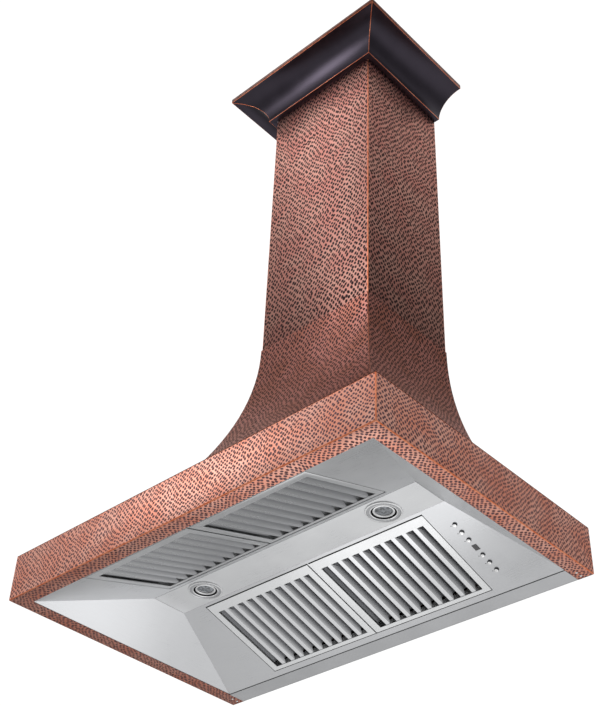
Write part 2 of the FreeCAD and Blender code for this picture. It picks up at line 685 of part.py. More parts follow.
def filter_baffles(slope):
    """Lower baffles open upwards, and upper baffles over their gaps open downwards."""
    x0, x1, s0, s1 = filter_span(slope)
    ridge_border, foot_border = filter_borders(slope)
    pitch = (x1 - x0 - 2 * FRAME_SIDE) / (BAFFLES + 0.5)
    window = (s0 + ridge_border, s1 - foot_border)
    middle = (x0 + x1) / 2
    drains = [drain_cut(slope, window[0], -1), drain_cut(slope, window[1], 1)]
    pieces = []
    for k in range(BAFFLES):
        centre = middle + (k - (BAFFLES - 1) / 2) * pitch
        lower = baffle(centre, window[0] - BAFFLE_LAP, window[1] + BAFFLE_LAP, FILTER_SHEET, 1)
        pieces.append(cut_all(lower, drains))
    for k in range(BAFFLES + 1):
        centre = middle + (k - BAFFLES / 2) * pitch
        inset = DRAIN_LENGTH / 2
        pieces.append(baffle(centre, window[0] + inset, window[1] - inset, FILTER_THICKNESS - FILTER_SHEET, -1))
    return group(pieces)


def mirror_x(shape):
    return shape.mirror(Vector(0, 0, 0), Vector(1, 0, 0))


# ---------------------------------------------------------------- lights

def lamp_y():
    return (STRIP_BACK - STRIP_FRONT) / 2


def light_trim(x):
    """Turned ring under the strip, with a sleeve that passes up through the strip."""
    y = lamp_y()
    z = RIDGE_HEIGHT
    ring = tube(TRIM_RADIUS, TRIM_BORE, (x, y, z - TRIM_PROUD), (x, y, z))
    sleeve = tube(TRIM_BORE + LINER_SHEET, TRIM_BORE, (x, y, z - TRIM_PROUD), (x, y, z + TRIM_SLEEVE))
    edge = Part.makeCone(TRIM_RADIUS - TRIM_PROUD, TRIM_RADIUS, TRIM_PROUD, Vector(x, y, z - TRIM_PROUD))
    return ring.common(edge).fuse(sleeve).removeSplitter()


def lamp_body(x):
    """Lamp with a bright bezel at its mouth, its neck held by a disc on top of the trim's sleeve."""
    y = lamp_y()
    z = RIDGE_HEIGHT
    body = rod(LAMP_RADIUS, (x, y, z), (x, y, z + LAMP_LENGTH))
    mouth = rod(LENS_RADIUS, (x, y, z - 1), (x, y, z + LENS_THICKNESS + 1))
    disc = rod(TRIM_BORE + LINER_SHEET, (x, y, z + TRIM_SLEEVE), (x, y, z + TRIM_SLEEVE + 3))
    return body.cut(mouth).fuse(disc).removeSplitter()


def lamp_lens(x):
    y = lamp_y()
    z = RIDGE_HEIGHT + 1
    return rod(LENS_RADIUS, (x, y, z), (x, y, z + LENS_THICKNESS))


# ---------------------------------------------------------------- push buttons

def button_places():
    """Places down the back slope: three buttons, room for the display, three more buttons."""
    middle = BACK_SLOPE.s_at(PANEL_Y)
    return [middle + k * BUTTON_PITCH for k in (-3, -2, -1, 1, 2, 3)]


def push_button(s):
    """Cap through the liner with a collar behind it that keeps it in, and a stem to its switch."""
    cap = rod(BUTTON_RADIUS, (PANEL_X, s, -BUTTON_PROUD), (PANEL_X, s, LINER_SHEET + 1))
    low = LINER_SHEET + SHOULDER_GAP
    collar = rod(BUTTON_RADIUS + BUTTON_SHOULDER, (PANEL_X, s, low), (PANEL_X, s, low + BUTTON_SHOULDER))
    stem = rod(BUTTON_RADIUS / 2, (PANEL_X, s, LINER_SHEET + 1), (PANEL_X, s, BUTTON_TOP))
    return BACK_SLOPE.place(fuse([cap, collar, stem]))


def housing_span():
    places = button_places()
    margin = BUTTON_PITCH / 2 + 2 * HOUSING_WALL
    return places[0] - margin, places[-1] + margin


def button_housing():
    """Moulded tray over the back of the buttons, open towards the liner."""
    s0, s1 = housing_span()
    half = HOUSING_WIDTH / 2
    w = HOUSING_WALL
    shell = block(PANEL_X - half, PANEL_X + half, s0, s1, LINER_SHEET, LINER_SHEET + HOUSING_HEIGHT)
    inside = block(PANEL_X - half + w, PANEL_X + half - w, s0 + w, s1 - w, 0, LINER_SHEET + HOUSING_HEIGHT - w)
    return BACK_SLOPE.place(shell.cut(inside))


def control_board():
    s0, s1 = housing_span()
    half = HOUSING_WIDTH / 2 - HOUSING_WALL
    w = HOUSING_WALL
    return BACK_SLOPE.place(
        block(PANEL_X - half, PANEL_X + half, s0 + w, s1 - w, BOARD_LOW, BOARD_LOW + BOARD_THICKNESS))


def push_switches():
    half = SWITCH_SIZE / 2
    bodies = [block(PANEL_X - half, PANEL_X + half, s - half, s + half, SWITCH_FACE, BOARD_LOW)
              for s in button_places()]
    return group([BACK_SLOPE.place(b) for b in bodies])


def display_window():
    """Small window let into the liner, on a light block that stands on the board."""
    s = BACK_SLOPE.s_at(PANEL_Y)
    w = DISPLAY_WIDTH / 2 - DISPLAY_GAP
    h = DISPLAY_LENGTH / 2 - DISPLAY_GAP
    face = block(PANEL_X - w, PANEL_X + w, s - h, s + h, -DISPLAY_PROUD, BOARD_LOW)
    return BACK_SLOPE.place(face)


# ---------------------------------------------------------------- blower

def scroll_outline(x, grow):
    """Faces of the scroll and the throat in the plane at x; the radius grows evenly round to the throat."""
    throat_back = WHEEL_Y + SCROLL_END_RADIUS
    throat_front = throat_back - THROAT_DEPTH
    begin = math.acos((throat_front - WHEEL_Y) / SCROLL_START_RADIUS)
    finish = 2 * math.pi
    steps = 14

    def spot(k):
        share = k / steps
        angle = begin + (finish - begin) * share
        radius = SCROLL_START_RADIUS + (SCROLL_END_RADIUS - SCROLL_START_RADIUS) * share + grow
        return Vector(x, WHEEL_Y + radius * math.cos(angle), WHEEL_Z + radius * math.sin(angle))

    edges = [Part.Arc(spot(k), spot(k + 1), spot(k + 2)).toShape() for k in range(0, steps, 2)]
    edges.append(Part.makePolygon([spot(steps), Vector(x, spot(0).y, WHEEL_Z), spot(0)]))
    spiral = Part.Face(Part.Wire(edges))
    foot = Vector(x, throat_back + grow, WHEEL_Z)
    wide = THROAT_DEPTH + 2 * grow
    throat = Part.makePlane(THROAT_TOP - WHEEL_Z, wide, foot, Vector(1, 0, 0), Vector(0, 0, 1))
    return spiral, throat


def scroll_block(x, grow, width):
    """The scroll and its throat as one solid, from x over the given width."""
    solids = [face.extrude(Vector(width, 0, 0)) for face in scroll_outline(x, grow)]
    return solids[0].fuse(solids[1]).removeSplitter()


def blower_scroll():
    half = SCROLL_WIDTH / 2
    outer = scroll_block(-half, SCROLL_SHEET, SCROLL_WIDTH)
    return outer.cut(scroll_block(-half - 1, 0, SCROLL_WIDTH + 2))


def blower_screw_places(side):
    """Two screws from the mount's arm into the side plate."""
    x = side * (SCROLL_WIDTH / 2 + SCROLL_SHEET + BRACKET_SHEET)
    y = WHEEL_Y + SCROLL_END_RADIUS + SCROLL_RIM / 2 - MOUNT_SCREW_INSET
    return [(x, y, WHEEL_Z + rise) for rise in MOUNT_SCREW_HEIGHTS]


def blower_side(side):
    """Side plate of the scroll, with a short round inlet turned inwards."""
    inside = side * SCROLL_WIDTH / 2
    plate = scroll_block(inside, SCROLL_RIM, side * SCROLL_SHEET)
    centre = (WHEEL_Y, WHEEL_Z)
    ring = tube(INLET_RADIUS + SCROLL_SHEET, INLET_RADIUS, (inside + side * SCROLL_SHEET, *centre),
                (inside - side * INLET_DEPTH, *centre))
    hole = rod(INLET_RADIUS + SCROLL_SHEET / 2, (inside - side, *centre), (inside + side * 3, *centre))
    shape = plate.cut(hole).fuse(ring).removeSplitter()
    screws = [rod(SCREW_RADIUS, (x + side, y, z), (x - side * MOUNT_SCREW_LENGTH, y, z)) for x, y, z in blower_screw_places(side)]
    return cut_all(shape, screws)


def impeller():
    """Double-inlet wheel, pressed together: two end rings, a web with its hub, and blades on both sides of it."""
    half = WHEEL_WIDTH / 2
    centre = (WHEEL_Y, WHEEL_Z)
    t = WHEEL_SHEET
    web = rod(WHEEL_RADIUS, (-2 * t, *centre), (-t, *centre)).fuse(
        rod(WHEEL_HUB_RADIUS, (-5 * t, *centre), (0, *centre))).removeSplitter()
    pieces = [tube(WHEEL_RADIUS, WHEEL_INNER_RADIUS, (-half, *centre), (-half + t, *centre)),
              tube(WHEEL_RADIUS, WHEEL_INNER_RADIUS, (half - t, *centre), (half, *centre)),
              web.cut(rod(SHAFT_RADIUS, (-half, *centre), (half, *centre)))]
    middle = (WHEEL_RADIUS + WHEEL_INNER_RADIUS) / 2
    deep = (WHEEL_RADIUS - WHEEL_INNER_RADIUS) / 2 - 0.5
    for x0, x1 in ((-half + t, -2 * t), (-t, half - t)):
        blade = block(x0, x1, middle - deep, middle + deep, -BLADE_SHEET / 2, BLADE_SHEET / 2)
        blade.rotate(Vector(0, middle, 0), Vector(1, 0, 0), BLADE_LEAN)
        for k in range(WHEEL_BLADES):
            copy = blade.copy()
            copy.rotate(Vector(0, 0, 0), Vector(1, 0, 0), 360.0 * k / WHEEL_BLADES)
            copy.translate(Vector(0, *centre))
            pieces.append(copy)
    return group(pieces)


def motor():
    """Can of the motor, with a bore for its shaft."""
    x = MOTOR_START
    centre = (WHEEL_Y, WHEEL_Z)
    body = rod(MOTOR_RADIUS, (x, *centre), (x + MOTOR_LENGTH, *centre))
    edges = [e for e in body.Edges if abs(e.Length - 2 * math.pi * MOTOR_RADIUS) < 0.1 and e.Closed]
    body = body.makeFillet(MOTOR_EDGE, edges)
    return body.cut(rod(SHAFT_RADIUS + RUNNING_CLEARANCE, (x - 1, *centre), (x + SHAFT_BORE_DEPTH, *centre)))


def motor_shaft():
    x = MOTOR_START
    centre = (WHEEL_Y, WHEEL_Z)
    return rod(SHAFT_RADIUS, (SHAFT_START, *centre), (x + SHAFT_INSERT, *centre))


def motor_bracket():
    """Ring round the motor with three arms that lie on the right side plate."""
    centre = (WHEEL_Y, WHEEL_Z)
    outside = SCROLL_WIDTH / 2 + SCROLL_SHEET
    t = BRACKET_SHEET
    pieces = [tube(MOTOR_RADIUS + t, MOTOR_RADIUS, (outside - BRACKET_RING, *centre), (outside + t, *centre))]
    for k in range(3):
        arm = block(outside, outside + t, MOTOR_RADIUS + t / 2, INLET_RADIUS + BRACKET_ARM_LAP,
                    -BRACKET_ARM_WIDTH / 2, BRACKET_ARM_WIDTH / 2)
        arm.rotate(Vector(0, 0, 0), Vector(1, 0, 0), 90 + 120 * k)
        arm.translate(Vector(0, *centre))
        pieces.append(arm)
    return fuse(pieces)


def blower_mount():
    """Plate on the back panel with two arms that hold the blower by its side plates."""
    t = BRACKET_SHEET
    inner = SCROLL_WIDTH / 2 + SCROLL_SHEET
    low = WHEEL_Z + MOUNT_LOW
    high = WHEEL_Z + MOUNT_HIGH
    plate = block(-inner - t, inner + t, PANEL_FACE - t, PANEL_FACE, low, high)
    reach = WHEEL_Y + SCROLL_END_RADIUS - MOUNT_LAP
    arms = [block(min(side * inner, side * (inner + t)), max(side * inner, side * (inner + t)),
                  reach, PANEL_FACE, low, high) for side in (-1, 1)]
    holes = [rod(SCREW_RADIUS, (x + side, y, z), (x - side * MOUNT_SCREW_LENGTH, y, z))
             for side in (-1, 1) for x, y, z in blower_screw_places(side)]
    return cut_all(fuse([plate] + arms), holes)


def outlet_adapter():
    """Tapered sheet duct from the scroll's oblong throat to the round collar."""
    half = SCROLL_WIDTH / 2
    back = WHEEL_Y + SCROLL_END_RADIUS
    front = back - THROAT_DEPTH
    t = SCROLL_SHEET

    def taper(grow, low, high):
        foot = Part.makePolygon([
            Vector(-half - grow, front - grow, low), Vector(half + grow, front - grow, low),
            Vector(half + grow, back + grow, low), Vector(-half - grow, back + grow, low),
            Vector(-half - grow, front - grow, low)])
        head = Part.Wire(Part.makeCircle(COLLAR_RADIUS - t + grow, Vector(0, DUCT_Y, high)))
        return Part.makeLoft([foot, head], True, True)

    outer = taper(t, THROAT_TOP, COLLAR_Z)
    inner = taper(0, THROAT_TOP, COLLAR_Z)
    rim = block(-half - SCROLL_RIM, half + SCROLL_RIM, front - SCROLL_RIM, back + SCROLL_RIM,
                THROAT_TOP, THROAT_TOP + t)
    return outer.fuse(rim).cut(inner).removeSplitter()


# ---------------------------------------------------------------- duct collar and damper

def rod_y(side):
    return DUCT_Y + side * ROD_OFFSET


def duct_collar():
    """Round spigot for the duct, with a stop ledge under the flaps and holes for their rods."""
    inner = COLLAR_RADIUS - COLLAR_SHEET
    wall = tube(COLLAR_RADIUS, inner, (0, DUCT_Y, COLLAR_Z), (0, DUCT_Y, COLLAR_Z + COLLAR_HEIGHT))
    ledge_top = FLAP_Z - FLAP_SHEET - FLAP_REST_GAP
    ledge = tube(inner + COLLAR_SHEET / 2, inner - FLAP_LEDGE, (0, DUCT_Y, ledge_top - COLLAR_SHEET),
                 (0, DUCT_Y, ledge_top))
    ledge = ledge.cut(block(-COLLAR_RADIUS, COLLAR_RADIUS, DUCT_Y - 3 * ROD_OFFSET, DUCT_Y + 3 * ROD_OFFSET,
                            COLLAR_Z, COLLAR_Z + COLLAR_HEIGHT))
    reach = COLLAR_RADIUS + 5
    holes = [rod(ROD_RADIUS + RUNNING_CLEARANCE, (-reach, rod_y(side), FLAP_Z), (reach, rod_y(side), FLAP_Z))
             for side in (-1, 1)]
    return cut_all(wall.fuse(ledge).removeSplitter(), holes)


def damper_flap(side):
    """Half-round flap fixed to its own rod."""
    y = rod_y(side)
    radius = COLLAR_RADIUS - COLLAR_SHEET - FLAP_GAP
    disc = rod(radius, (0, DUCT_Y, FLAP_Z - FLAP_SHEET / 2), (0, DUCT_Y, FLAP_Z + FLAP_SHEET / 2))
    y0, y1 = sorted((y, DUCT_Y + side * 2 * COLLAR_RADIUS))
    leaf = disc.common(block(-COLLAR_RADIUS, COLLAR_RADIUS, y0, y1, FLAP_Z - 5, FLAP_Z + 5))
    reach = COLLAR_RADIUS - ROD_RECESS
    pin = rod(ROD_RADIUS, (-reach, y, FLAP_Z), (reach, y, FLAP_Z))
    return leaf.fuse(pin).removeSplitter()


# ---------------------------------------------------------------- electrics

def junction_box():
    t = JUNCTION_SHEET
    x0 = JUNCTION_X - JUNCTION_WIDTH / 2
    x1 = JUNCTION_X + JUNCTION_WIDTH / 2
    z0 = JUNCTION_Z - JUNCTION_HEIGHT / 2
    z1 = JUNCTION_Z + JUNCTION_HEIGHT / 2
    front = PANEL_FACE - JUNCTION_DEPTH
    box = block(x0, x1, front, PANEL_FACE, z0, z1)
    box = box.cut(block(x0 + t, x1 - t, front - t, PANEL_FACE - t, z0 + t, z1 - t))
    return box.cut(rod(GLAND_RADIUS, (JUNCTION_X, PANEL_FACE - 5, JUNCTION_Z), (JUNCTION_X, BACK, JUNCTION_Z)))


def junction_cover():
    t = JUNCTION_SHEET
    front = PANEL_FACE - JUNCTION_DEPTH
    half_w = JUNCTION_WIDTH / 2
    half_h = JUNCTION_HEIGHT / 2
    return block(JUNCTION_X - half_w, JUNCTION_X + half_w, front - t, front, JUNCTION_Z - half_h, JUNCTION_Z + half_h)


def cable_gland():
    """Bush through the back panel and the box, locked by a hexagonal nut inside the box."""
    nut_face = PANEL_FACE - JUNCTION_SHEET
    corners = [(JUNCTION_X + 16 * math.cos(math.pi * k / 3), nut_face - 6, JUNCTION_Z + 16 * math.sin(math.pi * k / 3))
               for k in range(6)]
    nut = prism(corners, (0, 6, 0))
    body = rod(GLAND_RADIUS, (JUNCTION_X, BACK - GLAND_LENGTH, JUNCTION_Z), (JUNCTION_X, BACK, JUNCTION_Z))
    bore = rod(GLAND_BORE, (JUNCTION_X, BACK - 2 * GLAND_LENGTH, JUNCTION_Z), (JUNCTION_X, BACK + 1, JUNCTION_Z))
    return nut.fuse(body).cut(bore).removeSplitter()


def lamp_driver():
    """Sealed driver block with a foot at each end."""
    length, depth, height = DRIVER_SIZE
    x0 = DRIVER_X - length / 2
    x1 = DRIVER_X + length / 2
    z0 = JUNCTION_Z - height / 2
    body = block(x0, x1, PANEL_FACE - depth, PANEL_FACE, z0, z0 + height)
    feet = block(x0 - 10, x1 + 10, PANEL_FACE - BRACKET_SHEET, PANEL_FACE, z0 + height / 4, z0 + 3 * height / 4)
    return body.fuse(feet).removeSplitter()


# ---------------------------------------------------------------- the whole hood

def main():
    os.makedirs("parts", exist_ok=True)
    save("canopy_band", canopy_band())
    save("canopy_flare", canopy_flare())
    save("chimney_cover", chimney_cover())
    for name, piece in crown_pieces().items():
        save(name, piece)
    save("lip_rivets", lip_rivets())
    save("back_panel", back_panel())
    save("rear_strip", rear_strip())
    save("wall_plates", wall_plates())
    save("chimney_bracket", chimney_bracket())
    save("sheet_screws", sheet_screws())
    save("liner_front_panel", liner_front_panel())
    save("liner_back_panel", liner_back_panel())
    save("liner_left_end", liner_end(-1))
    save("liner_right_end", liner_end(1))
    save("light_strip", light_strip())
    save("front_filter_rail", filter_rail(FRONT_SLOPE))
    save("back_filter_rail", filter_rail(BACK_SLOPE))
    save("liner_studs", liner_studs())
    filters = (
        ("back_right", BACK_SLOPE, False), ("back_left", BACK_SLOPE, True),
        ("front_left", FRONT_SLOPE, False), ("front_right", FRONT_SLOPE, True),
    )
    for name, slope, mirrored in filters:
        frame = filter_frame(slope)
        baffles = filter_baffles(slope)
        save("filter_frame_" + name, slope.place(mirror_x(frame) if mirrored else frame))
        save("filter_baffles_" + name, slope.place(mirror_x(baffles) if mirrored else baffles))
    for name, side in (("left", -1), ("right", 1)):
        save("light_trim_" + name, light_trim(side * LAMP_OFFSET))
        save("lamp_body_" + name, lamp_body(side * LAMP_OFFSET))
        save("lamp_lens_" + name, lamp_lens(side * LAMP_OFFSET))
        save("blower_side_" + name, blower_side(side))
    buttons = ("light", "timer", "power", "low_speed", "medium_speed", "high_speed")
    for name, s in zip(buttons, button_places()):
        save(name + "_button", push_button(s))
    save("button_housing", button_housing())
    save("control_board", control_board())
    save("push_switches", push_switches())
    save("display_window", display_window())
    save("blower_scroll", blower_scroll())
    save("impeller", impeller())
    save("motor", motor())
    save("motor_shaft", motor_shaft())
    save("motor_bracket", motor_bracket())
    save("blower_mount", blower_mount())
    save("outlet_adapter", outlet_adapter())
    save("duct_collar", duct_collar())
    save("damper_flap_front", damper_flap(-1))
    save("damper_flap_back", damper_flap(1))
    save("junction_box", junction_box())
    save("junction_cover", junction_cover())
    save("cable_gland", cable_gland())
    save("lamp_driver", lamp_driver())


main()
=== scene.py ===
import json
import math

import bmesh
import bpy
from mathutils import Euler, Matrix, Vector


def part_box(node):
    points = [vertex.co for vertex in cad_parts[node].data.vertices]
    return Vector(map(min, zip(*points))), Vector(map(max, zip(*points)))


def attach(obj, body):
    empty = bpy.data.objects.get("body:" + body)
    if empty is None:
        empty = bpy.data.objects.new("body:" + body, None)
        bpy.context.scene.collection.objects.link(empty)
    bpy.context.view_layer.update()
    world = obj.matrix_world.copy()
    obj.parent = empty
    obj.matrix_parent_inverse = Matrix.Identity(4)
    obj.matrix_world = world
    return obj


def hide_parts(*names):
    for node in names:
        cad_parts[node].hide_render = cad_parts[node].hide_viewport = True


# A copper chimney hood that hangs on a kitchen wall. Metres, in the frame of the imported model:
# X to the right, Y to the wall, Z up, with the underside of the copper lip at zero.

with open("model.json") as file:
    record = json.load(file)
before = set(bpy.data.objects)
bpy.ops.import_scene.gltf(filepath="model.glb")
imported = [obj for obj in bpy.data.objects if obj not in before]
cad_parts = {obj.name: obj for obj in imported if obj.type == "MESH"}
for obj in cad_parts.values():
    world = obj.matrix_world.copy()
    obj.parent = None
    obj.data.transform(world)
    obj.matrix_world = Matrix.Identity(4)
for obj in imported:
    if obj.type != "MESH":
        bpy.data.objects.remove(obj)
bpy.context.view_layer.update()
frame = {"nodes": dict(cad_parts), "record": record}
MM = 0.001

# ---- sizes that the pieces below share, read from the frame where it has them
band_low, band_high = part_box("canopy_band")
chimney_low, chimney_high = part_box("chimney_cover")
flare_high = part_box("canopy_flare")[1]
crown_low, crown_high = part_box("crown_front")
HALF_WIDTH = band_high.x
FRONT = band_low.y
WALL = band_high.y
BAND_TOP = band_high.z
SHOULDER = flare_high.z
CHIMNEY_HALF = chimney_high.x
CHIMNEY_FRONT = chimney_low.y
CHIMNEY_FOOT = chimney_low.z
TOP = chimney_high.z
LIP = 33 * MM
TOP_FLANGE = 18 * MM
SHEET = 1.2 * MM
NECK_GROWTH = 1.7 * MM
FOLD_RADIUS = 2.0 * MM
CHIMNEY_RETURN = 20 * MM
CROWN_OVERHANG = crown_high.x - CHIMNEY_HALF
CROWN_LEDGE = 16 * MM
CROWN_FOOT = 8 * MM
CROWN_FASCIA = 14 * MM
CROWN_STEP = 6 * MM
CROWN_SAG = 16 * MM
CROWN_FLANGE = 25 * MM
CROWN_SHEET = 1.8 * MM
CROWN_EDGE = 0.8 * MM
LINER_EDGE = 0.8 * MM
FRAME_EDGE = 0.7 * MM
FLARE_STEPS = 28
COVE_STEPS = 16
# the liner's two slopes: how steep they are, and how far out their feet stand
SLOPE = math.atan2(68.8, 229.8)
BACK_FOOT = 261.5 * MM
FRONT_FOOT = -271.5 * MM
# edges bent by more degrees than these are folds of a shell, or edges of a liner sheet
FOLD_ANGLE = 35
SHEET_ANGLE = 40
# how much of a unit normal points a way for its face to count as facing that way, or as level
FACING = 0.3
LEVEL = 0.9
TINY = 1e-6


# ---------------------------------------------------------------- camera, light and floor

CAMERA_PLACE = (1.4634, -1.5165, -1.1491)
CAMERA_RISE = 39.05
CAMERA_TURN = 44.08
CAMERA_ROLL = 2.5


def set_camera():
    """Below the hood, in front of it and to its right, looking up at it."""
    data = bpy.data.cameras.new("camera")
    data.lens = 65.0
    data.sensor_width = 36.0
    data.clip_end = 100.0
    camera = bpy.data.objects.new("camera", data)
    turn = Euler((math.radians(90 + CAMERA_RISE), 0, math.radians(CAMERA_TURN))).to_matrix()
    roll = Matrix.Rotation(math.radians(CAMERA_ROLL), 3, "Z")
    camera.matrix_world = Matrix.Translation(CAMERA_PLACE) @ (turn @ roll).to_4x4()
    bpy.context.scene.collection.objects.link(camera)
    bpy.context.scene.camera = camera


def soft_light(name, place, target, size, power):
    data = bpy.data.lights.new(name, "AREA")
    data.shape = "DISK"
    data.size = size
    data.energy = power
    light = bpy.data.objects.new(name, data)
    light.location = place
    light.rotation_euler = (Vector(target) - Vector(place)).to_track_quat("-Z", "Y").to_euler()
    light.visible_camera = False
    bpy.context.scene.collection.objects.link(light)


def deselect():
    bpy.ops.object.select_all(action="DESELECT")


def add(tree, kind, inputs=None, **settings):
    """Adds one shader node, with its settings, and its inputs as values or as links."""
    made = tree.nodes.new(kind)
    for name, value in settings.items():
        setattr(made, name, value)
    for key, value in (inputs or {}).items():
        if isinstance(value, bpy.types.NodeSocket):
            tree.links.new(value, made.inputs[key])
        else:
            made.inputs[key].default_value = value
    return made


def lobe(tree, way, towards, near, far, level):
    """Light from one direction: its level within near degrees of it, fading to nothing at far."""
    along = add(tree, "ShaderNodeVectorMath", {0: way, 1: Vector(towards).normalized()},
                operation="DOT_PRODUCT")
    return add(tree, "ShaderNodeMapRange", {
        "Value": along.outputs["Value"], "From Min": math.cos(math.radians(far)),
        "From Max": math.cos(math.radians(near)), "To Min": 0.0, "To Max": level,
    }, interpolation_type="SMOOTHSTEP").outputs["Result"]


def set_studio():
    """Pale studio: five soft patches of light in a dim room, and five soft lamps near the hood."""
    world = bpy.data.worlds.new("studio")
    world.use_nodes = True
    tree = world.node_tree
    tree.nodes.clear()
    way = add(tree, "ShaderNodeTexCoord").outputs["Generated"]
    level = 0.30                                # the room between the patches
    for towards, near, far, strength in (
        ((-0.54, 0.56, 0.63), 26, 44, 1.08),    # white behind the hood
        ((-0.50, -0.55, 0.67), 20, 75, 0.88),   # large window in front, on the left
        ((0.50, 0.55, 0.67), 25, 56, 0.66),     # paler wall on the right
        ((0.50, -0.50, 0.70), 10, 30, 1.05),    # window in front, on the right
        ((0.00, 0.30, -0.95), 30, 68, 0.96),    # pale floor below it
    ):
        one = lobe(tree, way, towards, near, far, strength)
        level = add(tree, "ShaderNodeMath", {0: level, 1: one}, operation="MAXIMUM").outputs[0]
    sky = add(tree, "ShaderNodeBackground", {"Color": (1, 1, 1, 1), "Strength": level})
    add(tree, "ShaderNodeOutputWorld", {"Surface": sky.outputs[0]})
    bpy.context.scene.world = world
    bpy.context.scene.view_settings.view_transform = "Standard"
    # close in front of the crown: the long highlight in its cove
    soft_light("key", (-0.17, -0.66, 1.28), (0.05, -0.1, 1.46), 0.45, 3.0)
    # the band, from the left
    soft_light("front", (-1.2, -1.5, 1.3), (0.15, -0.3, 0.05), 0.9, 4.5)
    # the top of the flare and of the crown
    soft_light("high", (-1.29, -1.41, 3.6), (0, 0, 1.2), 1.2, 4)
    # the inside of the liner, and its right end
    soft_light("under", (-0.20, 0.13, -0.50), (0, 0, 0.05), 0.4, 0.28)
    soft_light("glow", (0.06, 0.19, -0.50), (0.35, 0.06, 0.05), 0.2, 0.12)


# ---------------------------------------------------------------- materials

# a Mix node's sockets when it mixes colours: its factor, its two colours and its result
FACTOR, FIRST, SECOND, MIXED = 0, 6, 7, 2


def linear(hex_colour):
    """Linear colour, with its alpha, of an sRGB hex value."""
    parts = [int(hex_colour[k:k + 2], 16) / 255 for k in (1, 3, 5)]
    return tuple(c / 12.92 if c <= 0.04045 else ((c + 0.055) / 1.055) ** 2.4 for c in parts) + (1.0,)


def new_material(name):
    material = bpy.data.materials.new(name)
    material.use_nodes = True
    tree = material.node_tree
    tree.nodes.clear()
    shader = add(tree, "ShaderNodeBsdfPrincipled")
    add(tree, "ShaderNodeOutputMaterial", {"Surface": shader.outputs[0]})
    return material, tree, shader


def join(tree, socket, shader, name):
    tree.links.new(socket, shader.inputs[name])


HAND = 70 * MM
ROW_WANDER = 22 * MM
PIT_DISORDER = 0.38
PIT_EDGE = 0.08
SPECK = 1.6 * MM


def hammered_copper(name, ridge, glow, pit, blue, pit_size, pitch, stretch=1.0, edge_tint=0.9, height_painted_light=None):
    """Hammered copper sheet with a dark patina: rubbed salmon ridges round dark pits in wavy rows.
    The height argument, as (low, high, first, last), scales the colour from one height to another: painted
    light, darker low and lighter high."""
    material, tree, shader = new_material(name)
    place = add(tree, "ShaderNodeUVMap", uv_map="hammering").outputs[0]
    # the rows wander by a few millimetres over a hand's width
    drift = add(tree, "ShaderNodeTexNoise", {"Vector": place, "Scale": 1 / HAND, "Detail": 1.0})
    centred = add(tree, "ShaderNodeVectorMath", {0: drift.outputs["Color"], 1: (0.5, 0.5, 0.5)},
                  operation="SUBTRACT")
    wander = add(tree, "ShaderNodeVectorMath", {0: centred.outputs[0], "Scale": ROW_WANDER},
                 operation="SCALE")
    bent = add(tree, "ShaderNodeVectorMath", {0: place, 1: wander.outputs[0]})
    rows = add(tree, "ShaderNodeMapping", {"Vector": bent.outputs[0], "Rotation": (0, 0, math.radians(45)),
                                           "Scale": (1 / pitch, 1 / (pitch * stretch), 1)})
    pits = add(tree, "ShaderNodeTexVoronoi", {"Vector": rows.outputs[0], "Scale": 1.0,
                                              "Randomness": PIT_DISORDER}, voronoi_dimensions="2D")
    wall = add(tree, "ShaderNodeMapRange", {
        "Value": pits.outputs["Distance"], "From Min": pit_size - PIT_EDGE, "From Max": pit_size + PIT_EDGE,
    }, interpolation_type="SMOOTHSTEP")
    mask = wall.outputs["Result"]
    cloud = add(tree, "ShaderNodeTexNoise", {"Vector": place, "Scale": 1 / HAND, "Detail": 3.0})
    patch = add(tree, "ShaderNodeMapRange", {"Value": cloud.outputs[0], "From Min": 0.38, "From Max": 0.62})
    ridges = add(tree, "ShaderNodeMix", {FACTOR: patch.outputs[0], FIRST: linear(ridge),
                                         SECOND: linear(glow)}, data_type="RGBA").outputs[MIXED]
    own = add(tree, "ShaderNodeSeparateColor", {"Color": pits.outputs["Color"]})
    deep = add(tree, "ShaderNodeMix", {FACTOR: own.outputs[0], FIRST: linear(pit),
                                       SECOND: linear(blue)}, data_type="RGBA").outputs[MIXED]
    tarnish = add(tree, "ShaderNodeMix", {FACTOR: mask, FIRST: deep, SECOND: ridges},
                  data_type="RGBA").outputs[MIXED]
    grain = add(tree, "ShaderNodeTexNoise", {"Vector": place, "Scale": 1 / SPECK, "Detail": 2.0})
    speck = add(tree, "ShaderNodeMapRange", {"Value": grain.outputs[0], "To Min": 0.86, "To Max": 1.12})
    colour = add(tree, "ShaderNodeMix", {FACTOR: 1.0, FIRST: tarnish, SECOND: speck.outputs[0]},
                 data_type="RGBA", blend_type="MULTIPLY").outputs[MIXED]
    # painted light: the colour is scaled by height, darker low and lighter high
    if height_painted_light:
        where = add(tree, "ShaderNodeTexCoord").outputs["Object"]
        height = add(tree, "ShaderNodeSeparateXYZ", {0: where}).outputs[2]
        painted_rise = add(tree, "ShaderNodeMapRange", {"Value": height, "From Min": height_painted_light[0], "From Max": height_painted_light[1],
                                                "To Min": height_painted_light[2], "To Max": height_painted_light[3]})
        colour = add(tree, "ShaderNodeMix", {FACTOR: 1.0, FIRST: colour, SECOND: painted_rise.outputs[0]},
                     data_type="RGBA", blend_type="MULTIPLY").outputs[MIXED]
    join(tree, colour, shader, "Base Color")
    shine = add(tree, "ShaderNodeMapRange", {"Value": mask, "To Min": 0.5, "To Max": 0.34})
    join(tree, shine.outputs[0], shader, "Roughness")
    shader.inputs["Metallic"].default_value = 1.0
    shader.inputs["Specular Tint"].default_value = (edge_tint, 0.8 * edge_tint, 0.75 * edge_tint, 1)
    bump = add(tree, "ShaderNodeBump", {"Height": mask, "Strength": 0.5, "Distance": 0.5 * MM})
    join(tree, bump.outputs[0], shader, "Normal")
    return material


